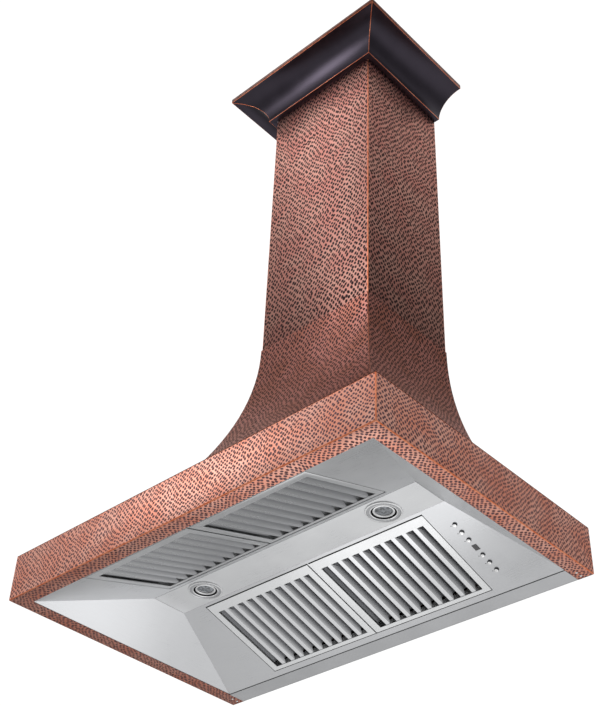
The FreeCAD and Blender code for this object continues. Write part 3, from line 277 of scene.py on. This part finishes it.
def worn_copper(name, first, second):
    """Copper rubbed bright along a fold, with streaks left by handling."""
    material, tree, shader = new_material(name)
    place = add(tree, "ShaderNodeTexCoord").outputs["Object"]
    rub = add(tree, "ShaderNodeTexNoise", {"Vector": place, "Scale": 1 / (14 * MM), "Detail": 4.0})
    patch = add(tree, "ShaderNodeMapRange", {"Value": rub.outputs[0], "From Min": 0.35, "From Max": 0.65})
    colour = add(tree, "ShaderNodeMix", {FACTOR: patch.outputs[0], FIRST: linear(first),
                                         SECOND: linear(second)}, data_type="RGBA")
    join(tree, colour.outputs[MIXED], shader, "Base Color")
    shine = add(tree, "ShaderNodeMapRange", {"Value": rub.outputs[0], "To Min": 0.25, "To Max": 0.45})
    join(tree, shine.outputs[0], shader, "Roughness")
    shader.inputs["Metallic"].default_value = 1.0
    return material


def brushed_metal(name, light, dark, rough, along, grain=0.35 * MM, stretch=90.0):
    """Sheet or bar brushed one way: fine lines along it that catch the light differently.
    Real lines are a few hundredths of a millimetre wide, and are drawn wider so that they show."""
    material, tree, shader = new_material(name)
    place = add(tree, "ShaderNodeTexCoord").outputs["Object"]
    size = [1 / grain] * 3
    size["XYZ".index(along)] /= stretch
    lines = add(tree, "ShaderNodeMapping", {"Vector": place, "Scale": size})
    brush = add(tree, "ShaderNodeTexNoise", {"Vector": lines.outputs[0], "Scale": 1.0, "Detail": 3.0})
    cloud = add(tree, "ShaderNodeTexNoise", {"Vector": place, "Scale": 1 / (90 * MM), "Detail": 2.0})
    both = add(tree, "ShaderNodeMath", {0: brush.outputs[0], 1: cloud.outputs[0]}, operation="ADD")
    tone = add(tree, "ShaderNodeMapRange", {"Value": both.outputs[0], "From Min": 0.6, "From Max": 1.4})
    colour = add(tree, "ShaderNodeMix", {FACTOR: tone.outputs[0], FIRST: linear(dark),
                                         SECOND: linear(light)}, data_type="RGBA")
    join(tree, colour.outputs[MIXED], shader, "Base Color")
    shine = add(tree, "ShaderNodeMapRange", {"Value": both.outputs[0], "From Min": 0.6, "From Max": 1.4,
                                             "To Min": rough - 0.05, "To Max": rough + 0.07})
    join(tree, shine.outputs[0], shader, "Roughness")
    shader.inputs["Metallic"].default_value = 1.0
    bump = add(tree, "ShaderNodeBump", {"Height": brush.outputs[0], "Strength": 0.03, "Distance": 0.05 * MM})
    join(tree, bump.outputs[0], shader, "Normal")
    return material


# painted shade in the filters' recesses: how far above the slope's face the baffles start to darken, and
# where they are fully dark
RECESS_SHADE_FROM = 1.5 * MM
RECESS_SHADE_FULL = 6.5 * MM


def baffle_steel(name, side, foot, dark, light):
    """Filter stainless, painted darker in the upper baffles, which lie deeper above the slope's face:
    painted shade in the recesses.
    """
    material, tree, shader = new_material(name)
    place = add(tree, "ShaderNodeTexCoord").outputs["Object"]
    up = Vector((0, side * math.sin(SLOPE), math.cos(SLOPE)))
    reach = add(tree, "ShaderNodeVectorMath", {0: place, 1: up}, operation="DOT_PRODUCT").outputs["Value"]
    level = up.y * foot + up.z * SHEET      # the slope's own face, along up
    recess_shade_mask = add(tree, "ShaderNodeMapRange", {"Value": reach, "From Min": level + RECESS_SHADE_FROM,
                                             "From Max": level + RECESS_SHADE_FULL}).outputs[0]
    lines = add(tree, "ShaderNodeMapping", {"Vector": place, "Scale": (2500, 30, 2500)})
    brush = add(tree, "ShaderNodeTexNoise", {"Vector": lines.outputs[0], "Scale": 1.0,
                                             "Detail": 2.0}).outputs[0]
    unshaded_colour = add(tree, "ShaderNodeMix", {FACTOR: brush, FIRST: linear("#cfd0d2"), SECOND: linear("#dfe0e2")},
                data_type="RGBA").outputs[MIXED]
    recess_shade_colour = add(tree, "ShaderNodeMix", {FACTOR: brush, FIRST: linear(dark), SECOND: linear(light)},
                 data_type="RGBA").outputs[MIXED]
    # painted shade: the deeper baffles take the darker steel
    colour = add(tree, "ShaderNodeMix", {FACTOR: recess_shade_mask, FIRST: unshaded_colour, SECOND: recess_shade_colour}, data_type="RGBA")
    join(tree, colour.outputs[MIXED], shader, "Base Color")
    shine = add(tree, "ShaderNodeMapRange", {"Value": recess_shade_mask, "To Min": 0.26, "To Max": 0.42})
    join(tree, shine.outputs[0], shader, "Roughness")
    shader.inputs["Metallic"].default_value = 1.0
    return material


def mottled(name, light, dark, rough, metallic, patch, bump_height, spangle=False, coat=0.0):
    """A plain finish with its own mottle: cast or painted metal, zinc spangle, moulded plastic."""
    material, tree, shader = new_material(name)
    place = add(tree, "ShaderNodeTexCoord").outputs["Object"]
    if spangle:
        cells = add(tree, "ShaderNodeTexVoronoi", {"Vector": place, "Scale": 1 / patch})
        spot = add(tree, "ShaderNodeSeparateColor", {"Color": cells.outputs["Color"]}).outputs[0]
    else:
        cloud = add(tree, "ShaderNodeTexNoise", {"Vector": place, "Scale": 1 / patch, "Detail": 4.0})
        spot = cloud.outputs[0]
    tone = add(tree, "ShaderNodeMapRange", {"Value": spot, "From Min": 0.2, "From Max": 0.8})
    colour = add(tree, "ShaderNodeMix", {FACTOR: tone.outputs[0], FIRST: linear(dark),
                                         SECOND: linear(light)}, data_type="RGBA")
    join(tree, colour.outputs[MIXED], shader, "Base Color")
    shine = add(tree, "ShaderNodeMapRange", {"Value": spot, "To Min": rough - 0.06, "To Max": rough + 0.08})
    join(tree, shine.outputs[0], shader, "Roughness")
    grit = add(tree, "ShaderNodeTexNoise", {"Vector": place, "Scale": 1 / (0.8 * MM), "Detail": 2.0})
    bump = add(tree, "ShaderNodeBump", {"Height": grit.outputs[0], "Strength": 0.3, "Distance": bump_height})
    join(tree, bump.outputs[0], shader, "Normal")
    shader.inputs["Metallic"].default_value = metallic
    shader.inputs["Coat Weight"].default_value = coat
    return material


# Hammered copper: bright on the band, duller on the flare, between the two on the chimney.
copper_band = hammered_copper("hammered copper, band", "#daa392", "#d48d78", "#604546", "#6c585e",
                              0.35, 6.9 * MM)
copper_flare = hammered_copper("hammered copper, flare", "#92625a", "#855549", "#271b1d", "#2e2427",
                               0.36, 7.6 * MM, 1.35, 0.85)
# the chimney is painted darker towards its foot and lighter up under the crown: painted light
copper_chimney = hammered_copper("hammered copper, chimney", "#d7a294", "#d09084", "#2e2429", "#393036",
                                 0.37, 8.7 * MM, 1.32, 0.85, height_painted_light=(0.67, 1.35, 0.32, 1.02))
# Bare copper at the folds, rubbed brighter than the sheet beside it, and drawn brighter still as a painted
# highlight along each fold.
copper_fold_wear_and_highlight = worn_copper("rubbed copper fold with painted highlight", "#f09c78", "#de7850")
copper_fascia = worn_copper("rubbed fascia", "#7d4c3e", "#553229")
copper_dull_fold = worn_copper("dull copper fold", "#a0634c", "#8a4630")
# Bronze crown: smooth, brown-black oil-rubbed bronze, a soft sheen and no grain.
bronze = mottled("oil-rubbed bronze", "#443f48", "#3a353d", 0.38, 1.0, 60 * MM, 0.01 * MM)
# Stainless steel, brushed to a satin grey along each sheet, drawn at its own brightness on each of the
# liner's sheets as painted light and shade: lit and shaded copies of the same steel.
satin_along = brushed_metal("satin stainless, along", "#f0f1f2", "#e2e3e5", 0.30, "X")
back_slope_steel_painted_shade = brushed_metal("satin stainless, back slope, painted shade", "#cccdcf", "#bfc0c2", 0.30, "X")
left_end_steel_painted_shade = brushed_metal("satin stainless, left end, painted shade", "#d0d1d3", "#c3c4c6", 0.30, "Y")
right_end_steel_painted_light = brushed_metal("satin stainless, right end, painted light", "#f6f6f7", "#eaebec", 0.30, "Y")
rear_strip_steel_painted_shade = brushed_metal("satin stainless, rear strip, painted shade", "#d4d5d7", "#c8c9cb", 0.36, "X")
# The cut edges of the liner's sheets: drawn dark as painted shade in the seams between the sheets.
seam_shade_steel = brushed_metal("cut edge of stainless, painted seam shade", "#77787a", "#5a5b5d", 0.45, "X")
# Filters: bright pressed frames round baffles that are painted darker where they lie deep, as painted shade
# in the recesses.
filter_steel = brushed_metal("filter stainless", "#eeeff0", "#d2d4d6", 0.24, "Y")
frame_steel = brushed_metal("filter frame stainless", "#e6e7e8", "#dcddde", 0.34, "X")
# the back filters' baffles take darker tones than the front ones': painted shade
baffles_back = baffle_steel("baffle stainless, back", 1, BACK_FOOT, "#818285", "#999a9d")
baffles_front = baffle_steel("baffle stainless, front", -1, FRONT_FOOT, "#a0a1a4", "#b9babd")
# Zinc: spangled sheet inside the hood, and the plain bright plate of screws and rivets.
galvanised = mottled("galvanised sheet", "#b9bdc0", "#92979b", 0.42, 1.0, 9 * MM, 0.02 * MM, spangle=True)
zinc = mottled("zinc plate", "#f4f4f2", "#dcdcda", 0.25, 1.0, 3 * MM, 0.01 * MM)
# Lamps: turned aluminium trims, dark cast bodies, moulded lenses over the diodes.
trim_metal = mottled("turned aluminium", "#f6f6f7", "#e0e1e2", 0.28, 1.0, 5 * MM, 0.01 * MM)
spun_metal = mottled("spun aluminium", "#c6c7c9", "#a2a3a6", 0.34, 1.0, 1.2 * MM, 0.04 * MM)
lamp_metal = mottled("die-cast aluminium", "#5c5d60", "#3c3d40", 0.45, 1.0, 2 * MM, 0.05 * MM)
lens = mottled("moulded lens", "#8b9097", "#3e4247", 0.12, 0.0, 4 * MM, 0.02 * MM, spangle=True, coat=1.0)
# Controls: satin plated caps, black ABS, green laminate, and the smoked window of the display.
plated = mottled("satin chrome plate", "#f2f2f2", "#dadada", 0.22, 1.0, 2 * MM, 0.005 * MM)
# the caps' rims and sides take a darker copy of the plate: painted shade, for the dark reflection round each
# cap
cap_side_painted_shade = mottled("plated edge of a cap, painted shade", "#7d7f82", "#5f6164", 0.2, 1.0, 2 * MM, 0.005 * MM)
black_plastic = mottled("black ABS", "#202022", "#141416", 0.5, 0.0, 1.5 * MM, 0.05 * MM)
board = mottled("green laminate", "#1f5a37", "#154428", 0.4, 0.0, 6 * MM, 0.01 * MM)
smoked = mottled("smoked acrylic", "#16181c", "#0d0e11", 0.1, 0.0, 8 * MM, 0.002 * MM, coat=1.0)
# Blower: black enamel on the motor, ground steel shaft, zinc-coated wheel.
enamel = mottled("black enamel", "#2c2c2e", "#1d1d1f", 0.35, 0.0, 5 * MM, 0.05 * MM, coat=0.4)
ground_steel = brushed_metal("ground steel", "#d8d8d8", "#b0b0b0", 0.2, "X", 0.3 * MM, 6.0)
wheel_steel = brushed_metal("zinc-coated wheel", "#b4b7ba", "#8f9296", 0.38, "X", 0.8 * MM, 12.0)

BY_SLOT = {
    "hammered_copper": copper_chimney, "bronze_crown": bronze, "satin_stainless": satin_along,
    "filter_stainless": filter_steel, "galvanised_sheet": galvanised, "zinc_screw": zinc,
    "lamp_trim": trim_metal, "lamp_cast": lamp_metal, "lamp_lens": lens, "button_metal": plated,
    "black_moulding": black_plastic, "board_green": board, "display_black": smoked,
    "motor_steel": enamel, "shaft_steel": ground_steel, "impeller_steel": wheel_steel,
}
BY_NODE = {
    "filter_baffles_back_left": baffles_back, "filter_baffles_back_right": baffles_back,
    "filter_baffles_front_left": baffles_front, "filter_baffles_front_right": baffles_front,
}


# ---------------------------------------------------------------- making and finishing pieces

def only(piece):
    deselect()
    piece.select_set(True)
    bpy.context.view_layer.objects.active = piece


def edit(piece):
    only(piece)
    bpy.ops.object.mode_set(mode="EDIT")
    bpy.ops.mesh.select_mode(type="EDGE")
    bpy.ops.mesh.select_all(action="SELECT")


def leave():
    bpy.ops.object.mode_set(mode="OBJECT")


def select_edges(piece, test):
    """In edit mode, selects just the edges whose two ends both pass the test."""
    mesh = bmesh.from_edit_mesh(piece.data)
    bpy.ops.mesh.select_all(action="DESELECT")
    for edge in mesh.edges:
        edge.select = all(test(v.co) for v in edge.verts)
    mesh.select_flush_mode()
    bmesh.update_edit_mesh(piece.data)


def extrude_to(piece, place):
    """In edit mode, extrudes the selected edges and puts each new point where place says."""
    bpy.ops.mesh.extrude_edges_move()
    mesh = bmesh.from_edit_mesh(piece.data)
    for v in mesh.verts:
        if v.select:
            v.co = place(v.co.copy())
    bmesh.update_edit_mesh(piece.data)


def modify(piece, kind, **settings):
    only(piece)
    made = piece.modifiers.new(kind.lower(), kind)
    for name, value in settings.items():
        setattr(made, name, value)
    bpy.ops.object.modifier_apply(modifier=made.name)


def dress(piece, body, slot, nodes, *materials):
    """Gives a finished piece its materials and its body, and hides the nodes that it stands for."""
    for material in materials:
        if material.name not in piece.data.materials:
            piece.data.materials.append(material)
    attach(piece, body)
    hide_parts(*nodes)


def smooth(piece, angle=FOLD_ANGLE):
    only(piece)
    bpy.ops.object.shade_smooth_by_angle(angle=math.radians(angle))


def skin(name, rings, kept="LFR"):
    """Sheet that is open at the wall, through rings of (height, half width, front).
    kept names the walls that it has: left, front and right."""
    deselect()
    bpy.ops.mesh.primitive_plane_add(size=1)
    piece = bpy.context.object
    piece.name = name
    edit(piece)
    bpy.ops.mesh.delete(type="ONLY_FACE")
    edges = {"L": lambda c: c.x < 0, "F": lambda c: c.y < 0, "R": lambda c: c.x > 0,
             "B": lambda c: c.y > 0}
    for letter in "LFRB":
        if letter not in kept:
            select_edges(piece, edges[letter])
            bpy.ops.mesh.delete(type="EDGE")
    bpy.ops.mesh.select_all(action="SELECT")
    middle = 0.0
    for step, (height, half, front) in enumerate(rings):
        def place(c, height=height, half=half, front=front, middle=middle):
            return Vector((math.copysign(half, c.x), front if c.y < middle else WALL, height))
        if step:
            extrude_to(piece, place)
        else:
            mesh = bmesh.from_edit_mesh(piece.data)
            for v in mesh.verts:
                v.co = place(v.co.copy())
            bmesh.update_edit_mesh(piece.data)
        middle = (front + WALL) / 2
    bpy.ops.mesh.select_all(action="SELECT")
    bpy.ops.mesh.normals_make_consistent(inside=False)
    leave()
    outward = sum(f.normal.y for f in piece.data.polygons if abs(f.normal.y) > FACING)
    if kept == "L":
        outward = sum(f.normal.x for f in piece.data.polygons)
    if kept == "R":
        outward = -sum(f.normal.x for f in piece.data.polygons)
    if outward > 0:
        edit(piece)
        bpy.ops.mesh.flip_normals()
        leave()
    return piece


def folded(piece, radius, thickness):
    """Rounds the folds, on material slot 1, and gives the sheet its thickness inwards."""
    modify(piece, "BEVEL", width=radius, segments=3, limit_method="ANGLE",
           angle_limit=math.radians(FOLD_ANGLE), material=1)
    modify(piece, "SOLIDIFY", thickness=thickness, offset=-1, use_even_offset=True)
    smooth(piece)


# metres between the patterns of walls that meet, so that no two show the same dimples
SIDE_APART = 5.0
LEDGE_APART = (7.0, 3.0)
FLARE_APART = 2.0


def unroll(piece, climb=None):
    """Lays the hammering out flat on each wall: along the wall, and up it as measured on the sheet."""
    layer = piece.data.uv_layers.new(name="hammering")
    climb = climb or {"side": lambda z: z, "front": lambda z: z}
    for face in piece.data.polygons:
        n = face.normal
        for loop in face.loop_indices:
            x, y, z = piece.data.vertices[piece.data.loops[loop].vertex_index].co
            if abs(n.z) > LEVEL:
                uv = (x + LEDGE_APART[0], y + LEDGE_APART[1])
            elif abs(n.x) > abs(n.y):
                uv = (math.copysign(SIDE_APART, n.x) + y, climb["side"](z))
            else:
                uv = (x, climb["front"](z))
            layer.data[loop].uv = uv


def turned(name, profile, place=(0, 0, 0), axis=(0, 0, 1), sides=64, closed=False):
    """Piece turned round an axis, through a profile of (radius, height) along it."""
    deselect()
    bpy.ops.mesh.primitive_circle_add(vertices=sides, radius=profile[0][0])
    piece = bpy.context.object
    piece.name = name
    edit(piece)
    radius = profile[0][0]
    mesh = bmesh.from_edit_mesh(piece.data)
    for v in mesh.verts:
        v.co.z = profile[0][1]
    bmesh.update_edit_mesh(piece.data)
    for new_radius, height in profile[1:] + ([profile[0]] if closed else []):
        grow = new_radius / radius
        extrude_to(piece, lambda c, grow=grow, height=height: Vector((c.x * grow, c.y * grow, height)))
        radius = new_radius
    if not closed:
        bpy.ops.mesh.edge_face_add()
        select_edges(piece, lambda c: abs(c.z - profile[0][1]) < TINY
                     and abs(c.xy.length - profile[0][0]) < TINY)
        bpy.ops.mesh.edge_face_add()
    bpy.ops.mesh.select_all(action="SELECT")
    bpy.ops.mesh.remove_doubles(threshold=TINY)
    bpy.ops.mesh.normals_make_consistent(inside=False)
    leave()
    turn = Vector(axis).to_track_quat("Z", "Y").to_matrix().to_4x4()
    piece.matrix_world = Matrix.Translation(place) @ turn
    return piece


def paint(piece, index, test):
    """Puts material slot index on each face whose centre passes the test, which is given its
    distance from the axis and its height along it."""
    for face in piece.data.polygons:
        if test(face.center.xy.length, face.center.z):
            face.material_index = index


def settle(piece):
    """Puts a piece's place and turn into its mesh."""
    only(piece)
    bpy.ops.object.transform_apply(location=True, rotation=True, scale=True)


def merge(name, pieces):
    """Makes several pieces one, under a new name."""
    deselect()
    for piece in pieces:
        piece.select_set(True)
    bpy.context.view_layer.objects.active = pieces[0]
    bpy.ops.object.join()
    pieces[0].name = name
    return pieces[0]


# ---------------------------------------------------------------- copper shell

def make_band():
    rings = [(0, HALF_WIDTH - LIP, FRONT + LIP), (0, HALF_WIDTH, FRONT), (BAND_TOP, HALF_WIDTH, FRONT),
             (BAND_TOP, HALF_WIDTH - TOP_FLANGE, FRONT + TOP_FLANGE)]
    piece = skin("copper_band", rings)
    piece.data.materials.append(copper_band)
    piece.data.materials.append(copper_fold_wear_and_highlight)
    folded(piece, FOLD_RADIUS, SHEET)
    unroll(piece)
    dress(piece, "hood", "hammered_copper", ["canopy_band"])


def arc_rings(count):
    """Rings of the flare, evenly spaced round its arcs from the band up to the neck, and for its side
    and front how far up the sheet a height lies."""
    drop = SHOULDER - BAND_TOP
    side_reach = HALF_WIDTH - CHIMNEY_HALF - NECK_GROWTH
    front_reach = CHIMNEY_FRONT - NECK_GROWTH - FRONT
    side_radius = (side_reach ** 2 + drop ** 2) / (2 * side_reach)
    front_radius = (front_reach ** 2 + drop ** 2) / (2 * front_reach)
    low = math.asin(drop / side_radius)
    rings = []
    for k in range(count + 1):
        fall = side_radius * math.sin(low * (1 - k / count))
        side = side_radius - math.sqrt(side_radius ** 2 - fall ** 2)
        ahead = front_radius - math.sqrt(front_radius ** 2 - fall ** 2)
        rings.append((SHOULDER - fall, CHIMNEY_HALF + NECK_GROWTH + side,
                      CHIMNEY_FRONT - NECK_GROWTH - ahead))

    def up_arc(radius):
        return lambda z: FLARE_APART - radius * math.asin(min(1, max(0, SHOULDER - z) / radius))

    return rings, {"side": up_arc(side_radius), "front": up_arc(front_radius)}


def make_flare():
    rings, climb = arc_rings(FLARE_STEPS)
    piece = skin("copper_flare", rings)
    piece.data.materials.append(copper_flare)
    piece.data.materials.append(copper_dull_fold)
    folded(piece, 1.5 * MM, SHEET)
    unroll(piece, climb)
    dress(piece, "hood", "hammered_copper", ["canopy_flare"])


def make_chimney():
    piece = skin("copper_chimney", [(CHIMNEY_FOOT, CHIMNEY_HALF, CHIMNEY_FRONT),
                                    (TOP, CHIMNEY_HALF, CHIMNEY_FRONT)])
    edit(piece)
    select_edges(piece, lambda c: c.y > WALL - MM)
    extrude_to(piece, lambda c: Vector((c.x - math.copysign(CHIMNEY_RETURN, c.x), c.y, c.z)))
    leave()
    piece.data.materials.append(copper_chimney)
    piece.data.materials.append(copper_fold_wear_and_highlight)
    folded(piece, FOLD_RADIUS, SHEET)
    unroll(piece)
    dress(piece, "hood", "hammered_copper", ["chimney_cover"])


def crown_rings():
    """Rings up the crown: ledge, foot fascia, cove, step, top fascia and flange."""
    height = crown_high.z - crown_low.z
    start = Vector((CROWN_LEDGE, CROWN_FOOT))
    end = Vector((CROWN_OVERHANG - CROWN_STEP, height - CROWN_FASCIA))
    chord = end - start
    radius = (chord.length ** 2 / 4 + CROWN_SAG ** 2) / (2 * CROWN_SAG)
    outward = Vector((chord.y, -chord.x)).normalized()
    centre = (start + end) / 2 + outward * (radius - CROWN_SAG)
    sweep = 2 * math.asin(chord.length / 2 / radius)
    first = math.atan2(start.y - centre.y, start.x - centre.x)
    cove = []
    for k in range(COVE_STEPS + 1):
        angle = first - sweep * k / COVE_STEPS
        cove.append((centre.x + radius * math.cos(angle), centre.y + radius * math.sin(angle)))
    outline = [(0, 0), (CROWN_LEDGE, 0), *cove, (CROWN_OVERHANG, end.y), (CROWN_OVERHANG, height),
               (CROWN_OVERHANG - CROWN_FLANGE, height)]
    return [(crown_low.z + up, CHIMNEY_HALF + out, CHIMNEY_FRONT - out) for out, up in outline]


def make_crown():
    for node, kept in (("crown_front", "F"), ("crown_left", "L"), ("crown_right", "R")):
        piece = skin(node.replace("crown", "bronze"), crown_rings(), kept)
        piece.data.materials.append(bronze)
        piece.data.materials.append(copper_fold_wear_and_highlight)
        modify(piece, "SOLIDIFY", thickness=CROWN_SHEET, offset=-1, use_even_offset=True)
        piece.data.materials.append(copper_fascia)
        for face in piece.data.polygons:
            if face.center.z > TOP - CROWN_FASCIA and abs(face.normal.z) < FACING:
                face.material_index = 2
        modify(piece, "BEVEL", width=CROWN_EDGE, segments=2, limit_method="ANGLE",
               angle_limit=math.radians(FOLD_ANGLE), material=1)
        # the ledge's inner edge, by the chimney, is bronze and not rubbed to copper
        for face in piece.data.polygons:
            out = max(abs(face.center.x) - CHIMNEY_HALF, CHIMNEY_FRONT - face.center.y)
            if face.material_index == 1 and out < CROWN_LEDGE - 3 * MM:
                face.material_index = 0
        smooth(piece)
        dress(piece, "hood", "bronze_crown", [node])


# ---------------------------------------------------------------- liner sheets and filter frames

def eased(node, body, slot, material, edge, width):
    """Copy of a sheet from the frame with its sharp edges eased, as a press or a file leaves them."""
    source = frame["nodes"][node]
    piece = bpy.data.objects.new(node + "_eased", source.data.copy())
    piece.matrix_world = source.matrix_world
    bpy.context.scene.collection.objects.link(piece)
    piece.data.materials.clear()
    edit(piece)
    bpy.ops.mesh.remove_doubles(threshold=TINY)
    bpy.ops.mesh.dissolve_limited(angle_limit=math.radians(1))
    bpy.ops.mesh.normals_make_consistent(inside=False)
    leave()
    piece.data.materials.append(material)
    piece.data.materials.append(edge)
    modify(piece, "BEVEL", width=width, segments=2, limit_method="ANGLE",
           angle_limit=math.radians(SHEET_ANGLE), material=1)
    settle(piece)
    dress(piece, body, slot, [node])
    return piece


def make_liner():
    # each liner sheet takes its own copy of the steel, painted lighter (right end) and darker (back slope,
    # left end, rear strip) than the front panel: painted light and shade
    for node, material in (("liner_front_panel", satin_along), ("liner_back_panel", back_slope_steel_painted_shade),
                           ("liner_left_end", left_end_steel_painted_shade), ("liner_right_end", right_end_steel_painted_light),
                           ("light_strip", satin_along), ("rear_strip", rear_strip_steel_painted_shade)):
        # the eased edges take the dark steel: painted shade in the seams
        eased(node, "hood", "satin_stainless", material, seam_shade_steel, LINER_EDGE)
    for place in ("back_left", "back_right", "front_left", "front_right"):
        eased("filter_frame_" + place, "filter_" + place, "filter_stainless", frame_steel, frame_steel,
              FRAME_EDGE)


# ---------------------------------------------------------------- lamps

def make_lamp(side):
    body_low, body_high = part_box("lamp_body_" + side)
    trim_low, trim_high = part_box("light_trim_" + side)
    x, y = (body_low.x + body_high.x) / 2, (body_low.y + body_high.y) / 2
    strip = body_low.z
    rim = (trim_high.x - trim_low.x) / 2
    fin = (body_high.x - body_low.x) / 2
    proud = strip - trim_low.z
    # trim: raised rim, sunk brushed ring, raised lip round the hole, and a black sleeve behind it: painted
    # shade in the gap round the lamp
    ring = [(rim, 0), (rim, -0.6 * proud), (rim - 0.5 * MM, -proud + 0.1 * MM), (rim - 1.2 * MM, -proud),
            (rim - 3.0 * MM, -proud), (rim - 3.6 * MM, -proud + 0.7 * MM),
            (rim - 4.2 * MM, -proud + 1.2 * MM), (fin + 1.5 * MM, -proud + 1.2 * MM),
            (fin + 1.0 * MM, -proud + 0.5 * MM), (fin, -proud + 0.4 * MM),
            (fin - 1.2 * MM, -proud + 1.0 * MM), (fin - 1.2 * MM, 14 * MM), (fin, 14 * MM), (fin, 0)]
    trim = turned("trim_" + side, ring, (x, y, strip), sides=96, closed=True)
    trim.data.materials.append(trim_metal)
    trim.data.materials.append(spun_metal)
    trim.data.materials.append(black_plastic)
    paint(trim, 1, lambda r, h: fin + 1.6 * MM < r < rim - 3.7 * MM and h < 0)
    # painted shade: the sleeve inside the hole is black, for the dark gap round the lamp
    paint(trim, 2, lambda r, h: r < fin - 0.9 * MM and h > 0)
    settle(trim)
    smooth(trim, 30)
    dress(trim, "hood", "lamp_trim", ["light_trim_" + side])
    # lamp: bright bezel in front, dark cast body with cooling fins behind
    bezel = 20.5 * MM
    seat = 15.4 * MM
    outline = [(0.3 * MM, 4.2 * MM), (seat, 4.2 * MM), (seat, 2.2 * MM), (seat + 0.5 * MM, 1.3 * MM),
               (seat + 1.7 * MM, 0.2 * MM), (bezel - 1.0 * MM, 0.0), (bezel - 0.3 * MM, 0.3 * MM),
               (bezel, 1.0 * MM), (bezel, 14.4 * MM)]
    for k in range(5):
        low = (14.4 + 4.0 * k) * MM
        outline += [(fin, low), (fin, low + 1.8 * MM), (bezel, low + 1.8 * MM), (bezel, low + 4.0 * MM)]
    outline[-1] = (bezel, body_high.z - strip)
    outline.append((0.3 * MM, body_high.z - strip))
    body = turned("lamp_" + side, outline, (x, y, strip), sides=72)
    body.data.materials.append(lamp_metal)
    body.data.materials.append(trim_metal)
    body.data.materials.append(black_plastic)
    paint(body, 1, lambda r, h: h < 3 * MM and r > seat - 1e-6)
    paint(body, 2, lambda r, h: r < seat - 1e-4 and h < 5 * MM)
    settle(body)
    smooth(body, 30)
    dress(body, "hood", "lamp_cast", ["lamp_body_" + side])
    # lens: a shallow dome over the diodes
    dome = [(0.3 * MM, 1.0 * MM), (5 * MM, 1.1 * MM), (10 * MM, 1.4 * MM), (13.2 * MM, 1.9 * MM),
            (15.0 * MM, 2.6 * MM), (15.2 * MM, 4.0 * MM), (0.3 * MM, 4.0 * MM)]
    glass = turned("lens_" + side, dome, (x, y, strip), sides=64)
    glass.data.materials.append(lens)
    settle(glass)
    smooth(glass, 30)
    dress(glass, "hood", "lamp_lens", ["lamp_lens_" + side])


# ---------------------------------------------------------------- controls and rivets

BUTTONS = ("light_button", "timer_button", "power_button", "low_speed_button", "medium_speed_button",
           "high_speed_button")
PANEL_AXIS = Vector((0, -math.sin(SLOPE), -math.cos(SLOPE)))


BUTTON_RADIUS = 4.3 * MM
PIP_APART = 8.6 * MM


def make_buttons():
    """Six turned caps that stand 3 mm proud of the sloping panel, each with a printed pip beside it."""
    pips = []
    for node in BUTTONS:
        low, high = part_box(node)
        face = Vector(((low.x + high.x) / 2, low.y + BUTTON_RADIUS * math.cos(SLOPE),
                       low.z + BUTTON_RADIUS * math.sin(SLOPE)))
        foot = face - PANEL_AXIS * 3 * MM
        outline = [(0.2 * MM, 2.82 * MM), (2.4 * MM, 2.84 * MM), (3.2 * MM, 3.0 * MM), (3.6 * MM, 2.96 * MM),
                   (4.05 * MM, 2.6 * MM), (BUTTON_RADIUS, 2.2 * MM), (BUTTON_RADIUS, -1.8 * MM),
                   (5.6 * MM, -1.9 * MM), (5.6 * MM, -3.0 * MM), (2.0 * MM, -3.0 * MM),
                   (2.0 * MM, -5.6 * MM), (0.2 * MM, -5.6 * MM)]
        cap = turned("cap_" + node, outline, foot, PANEL_AXIS, sides=48)
        cap.data.materials.append(plated)
        cap.data.materials.append(cap_side_painted_shade)
        # painted shade: the rim and sides of each cap take the darker plate
        paint(cap, 1, lambda r, h: r > 3.8 * MM or h < 0)
        settle(cap)
        smooth(cap, 40)
        dress(cap, node, "button_metal", [node])
        dot = [(0.1 * MM, 0.03 * MM), (0.9 * MM, 0.03 * MM), (1.0 * MM, 0.0), (0.1 * MM, -0.02 * MM)]
        pip = turned("pip", dot, foot - Vector((PIP_APART, 0, 0)), PANEL_AXIS, sides=24)
        pip.data.materials.append(black_plastic)
        settle(pip)
        pips.append(pip)
    printed = merge("panel_pips", pips)
    dress(printed, "hood", "black_moulding", [])


def make_rivets():
    low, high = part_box("lip_rivets")
    reach = 2.4 * MM                        # a head's radius
    heads = []
    for x in (low.x + reach, high.x - reach):
        for y in (low.y + reach, high.y - reach):
            outline = [(0.1 * MM, -0.85 * MM), (0.9 * MM, -0.8 * MM), (1.7 * MM, -0.55 * MM),
                       (2.2 * MM, -0.2 * MM), (reach, 0.0), (1.6 * MM, 0.1 * MM), (1.6 * MM, high.z),
                       (0.1 * MM, high.z)]
            head = turned("rivet", outline, (x, y, 0), sides=32)
            head.data.materials.append(zinc)
            settle(head)
            heads.append(head)
    rivets = merge("rivets", heads)
    smooth(rivets, 40)
    dress(rivets, "hood", "zinc_screw", ["lip_rivets"])


# ---------------------------------------------------------------- all the pieces

set_camera()
set_studio()
make_band()
make_flare()
make_chimney()
make_crown()
make_liner()
make_lamp("left")
make_lamp("right")
make_buttons()
make_rivets()

slot_of = {row["node"]: row["material_slot"] for row in frame["record"]["subparts"]}
for name, node in frame["nodes"].items():
    node.data.materials.clear()
    node.data.materials.append(BY_NODE.get(name, BY_SLOT[slot_of[name]]))

# pale floor, well below the hood
FLOOR_SIZE = 4
FLOOR_HEIGHT = -3.9
deselect()
bpy.ops.mesh.primitive_plane_add(size=FLOOR_SIZE, location=(0, 0, FLOOR_HEIGHT))
floor = bpy.context.object
floor.name = "floor"
floor.data.materials.append(mottled("pale floor", "#e8e8e8", "#e2e2e2", 0.6, 0.0, 400 * MM, 0.01 * MM))
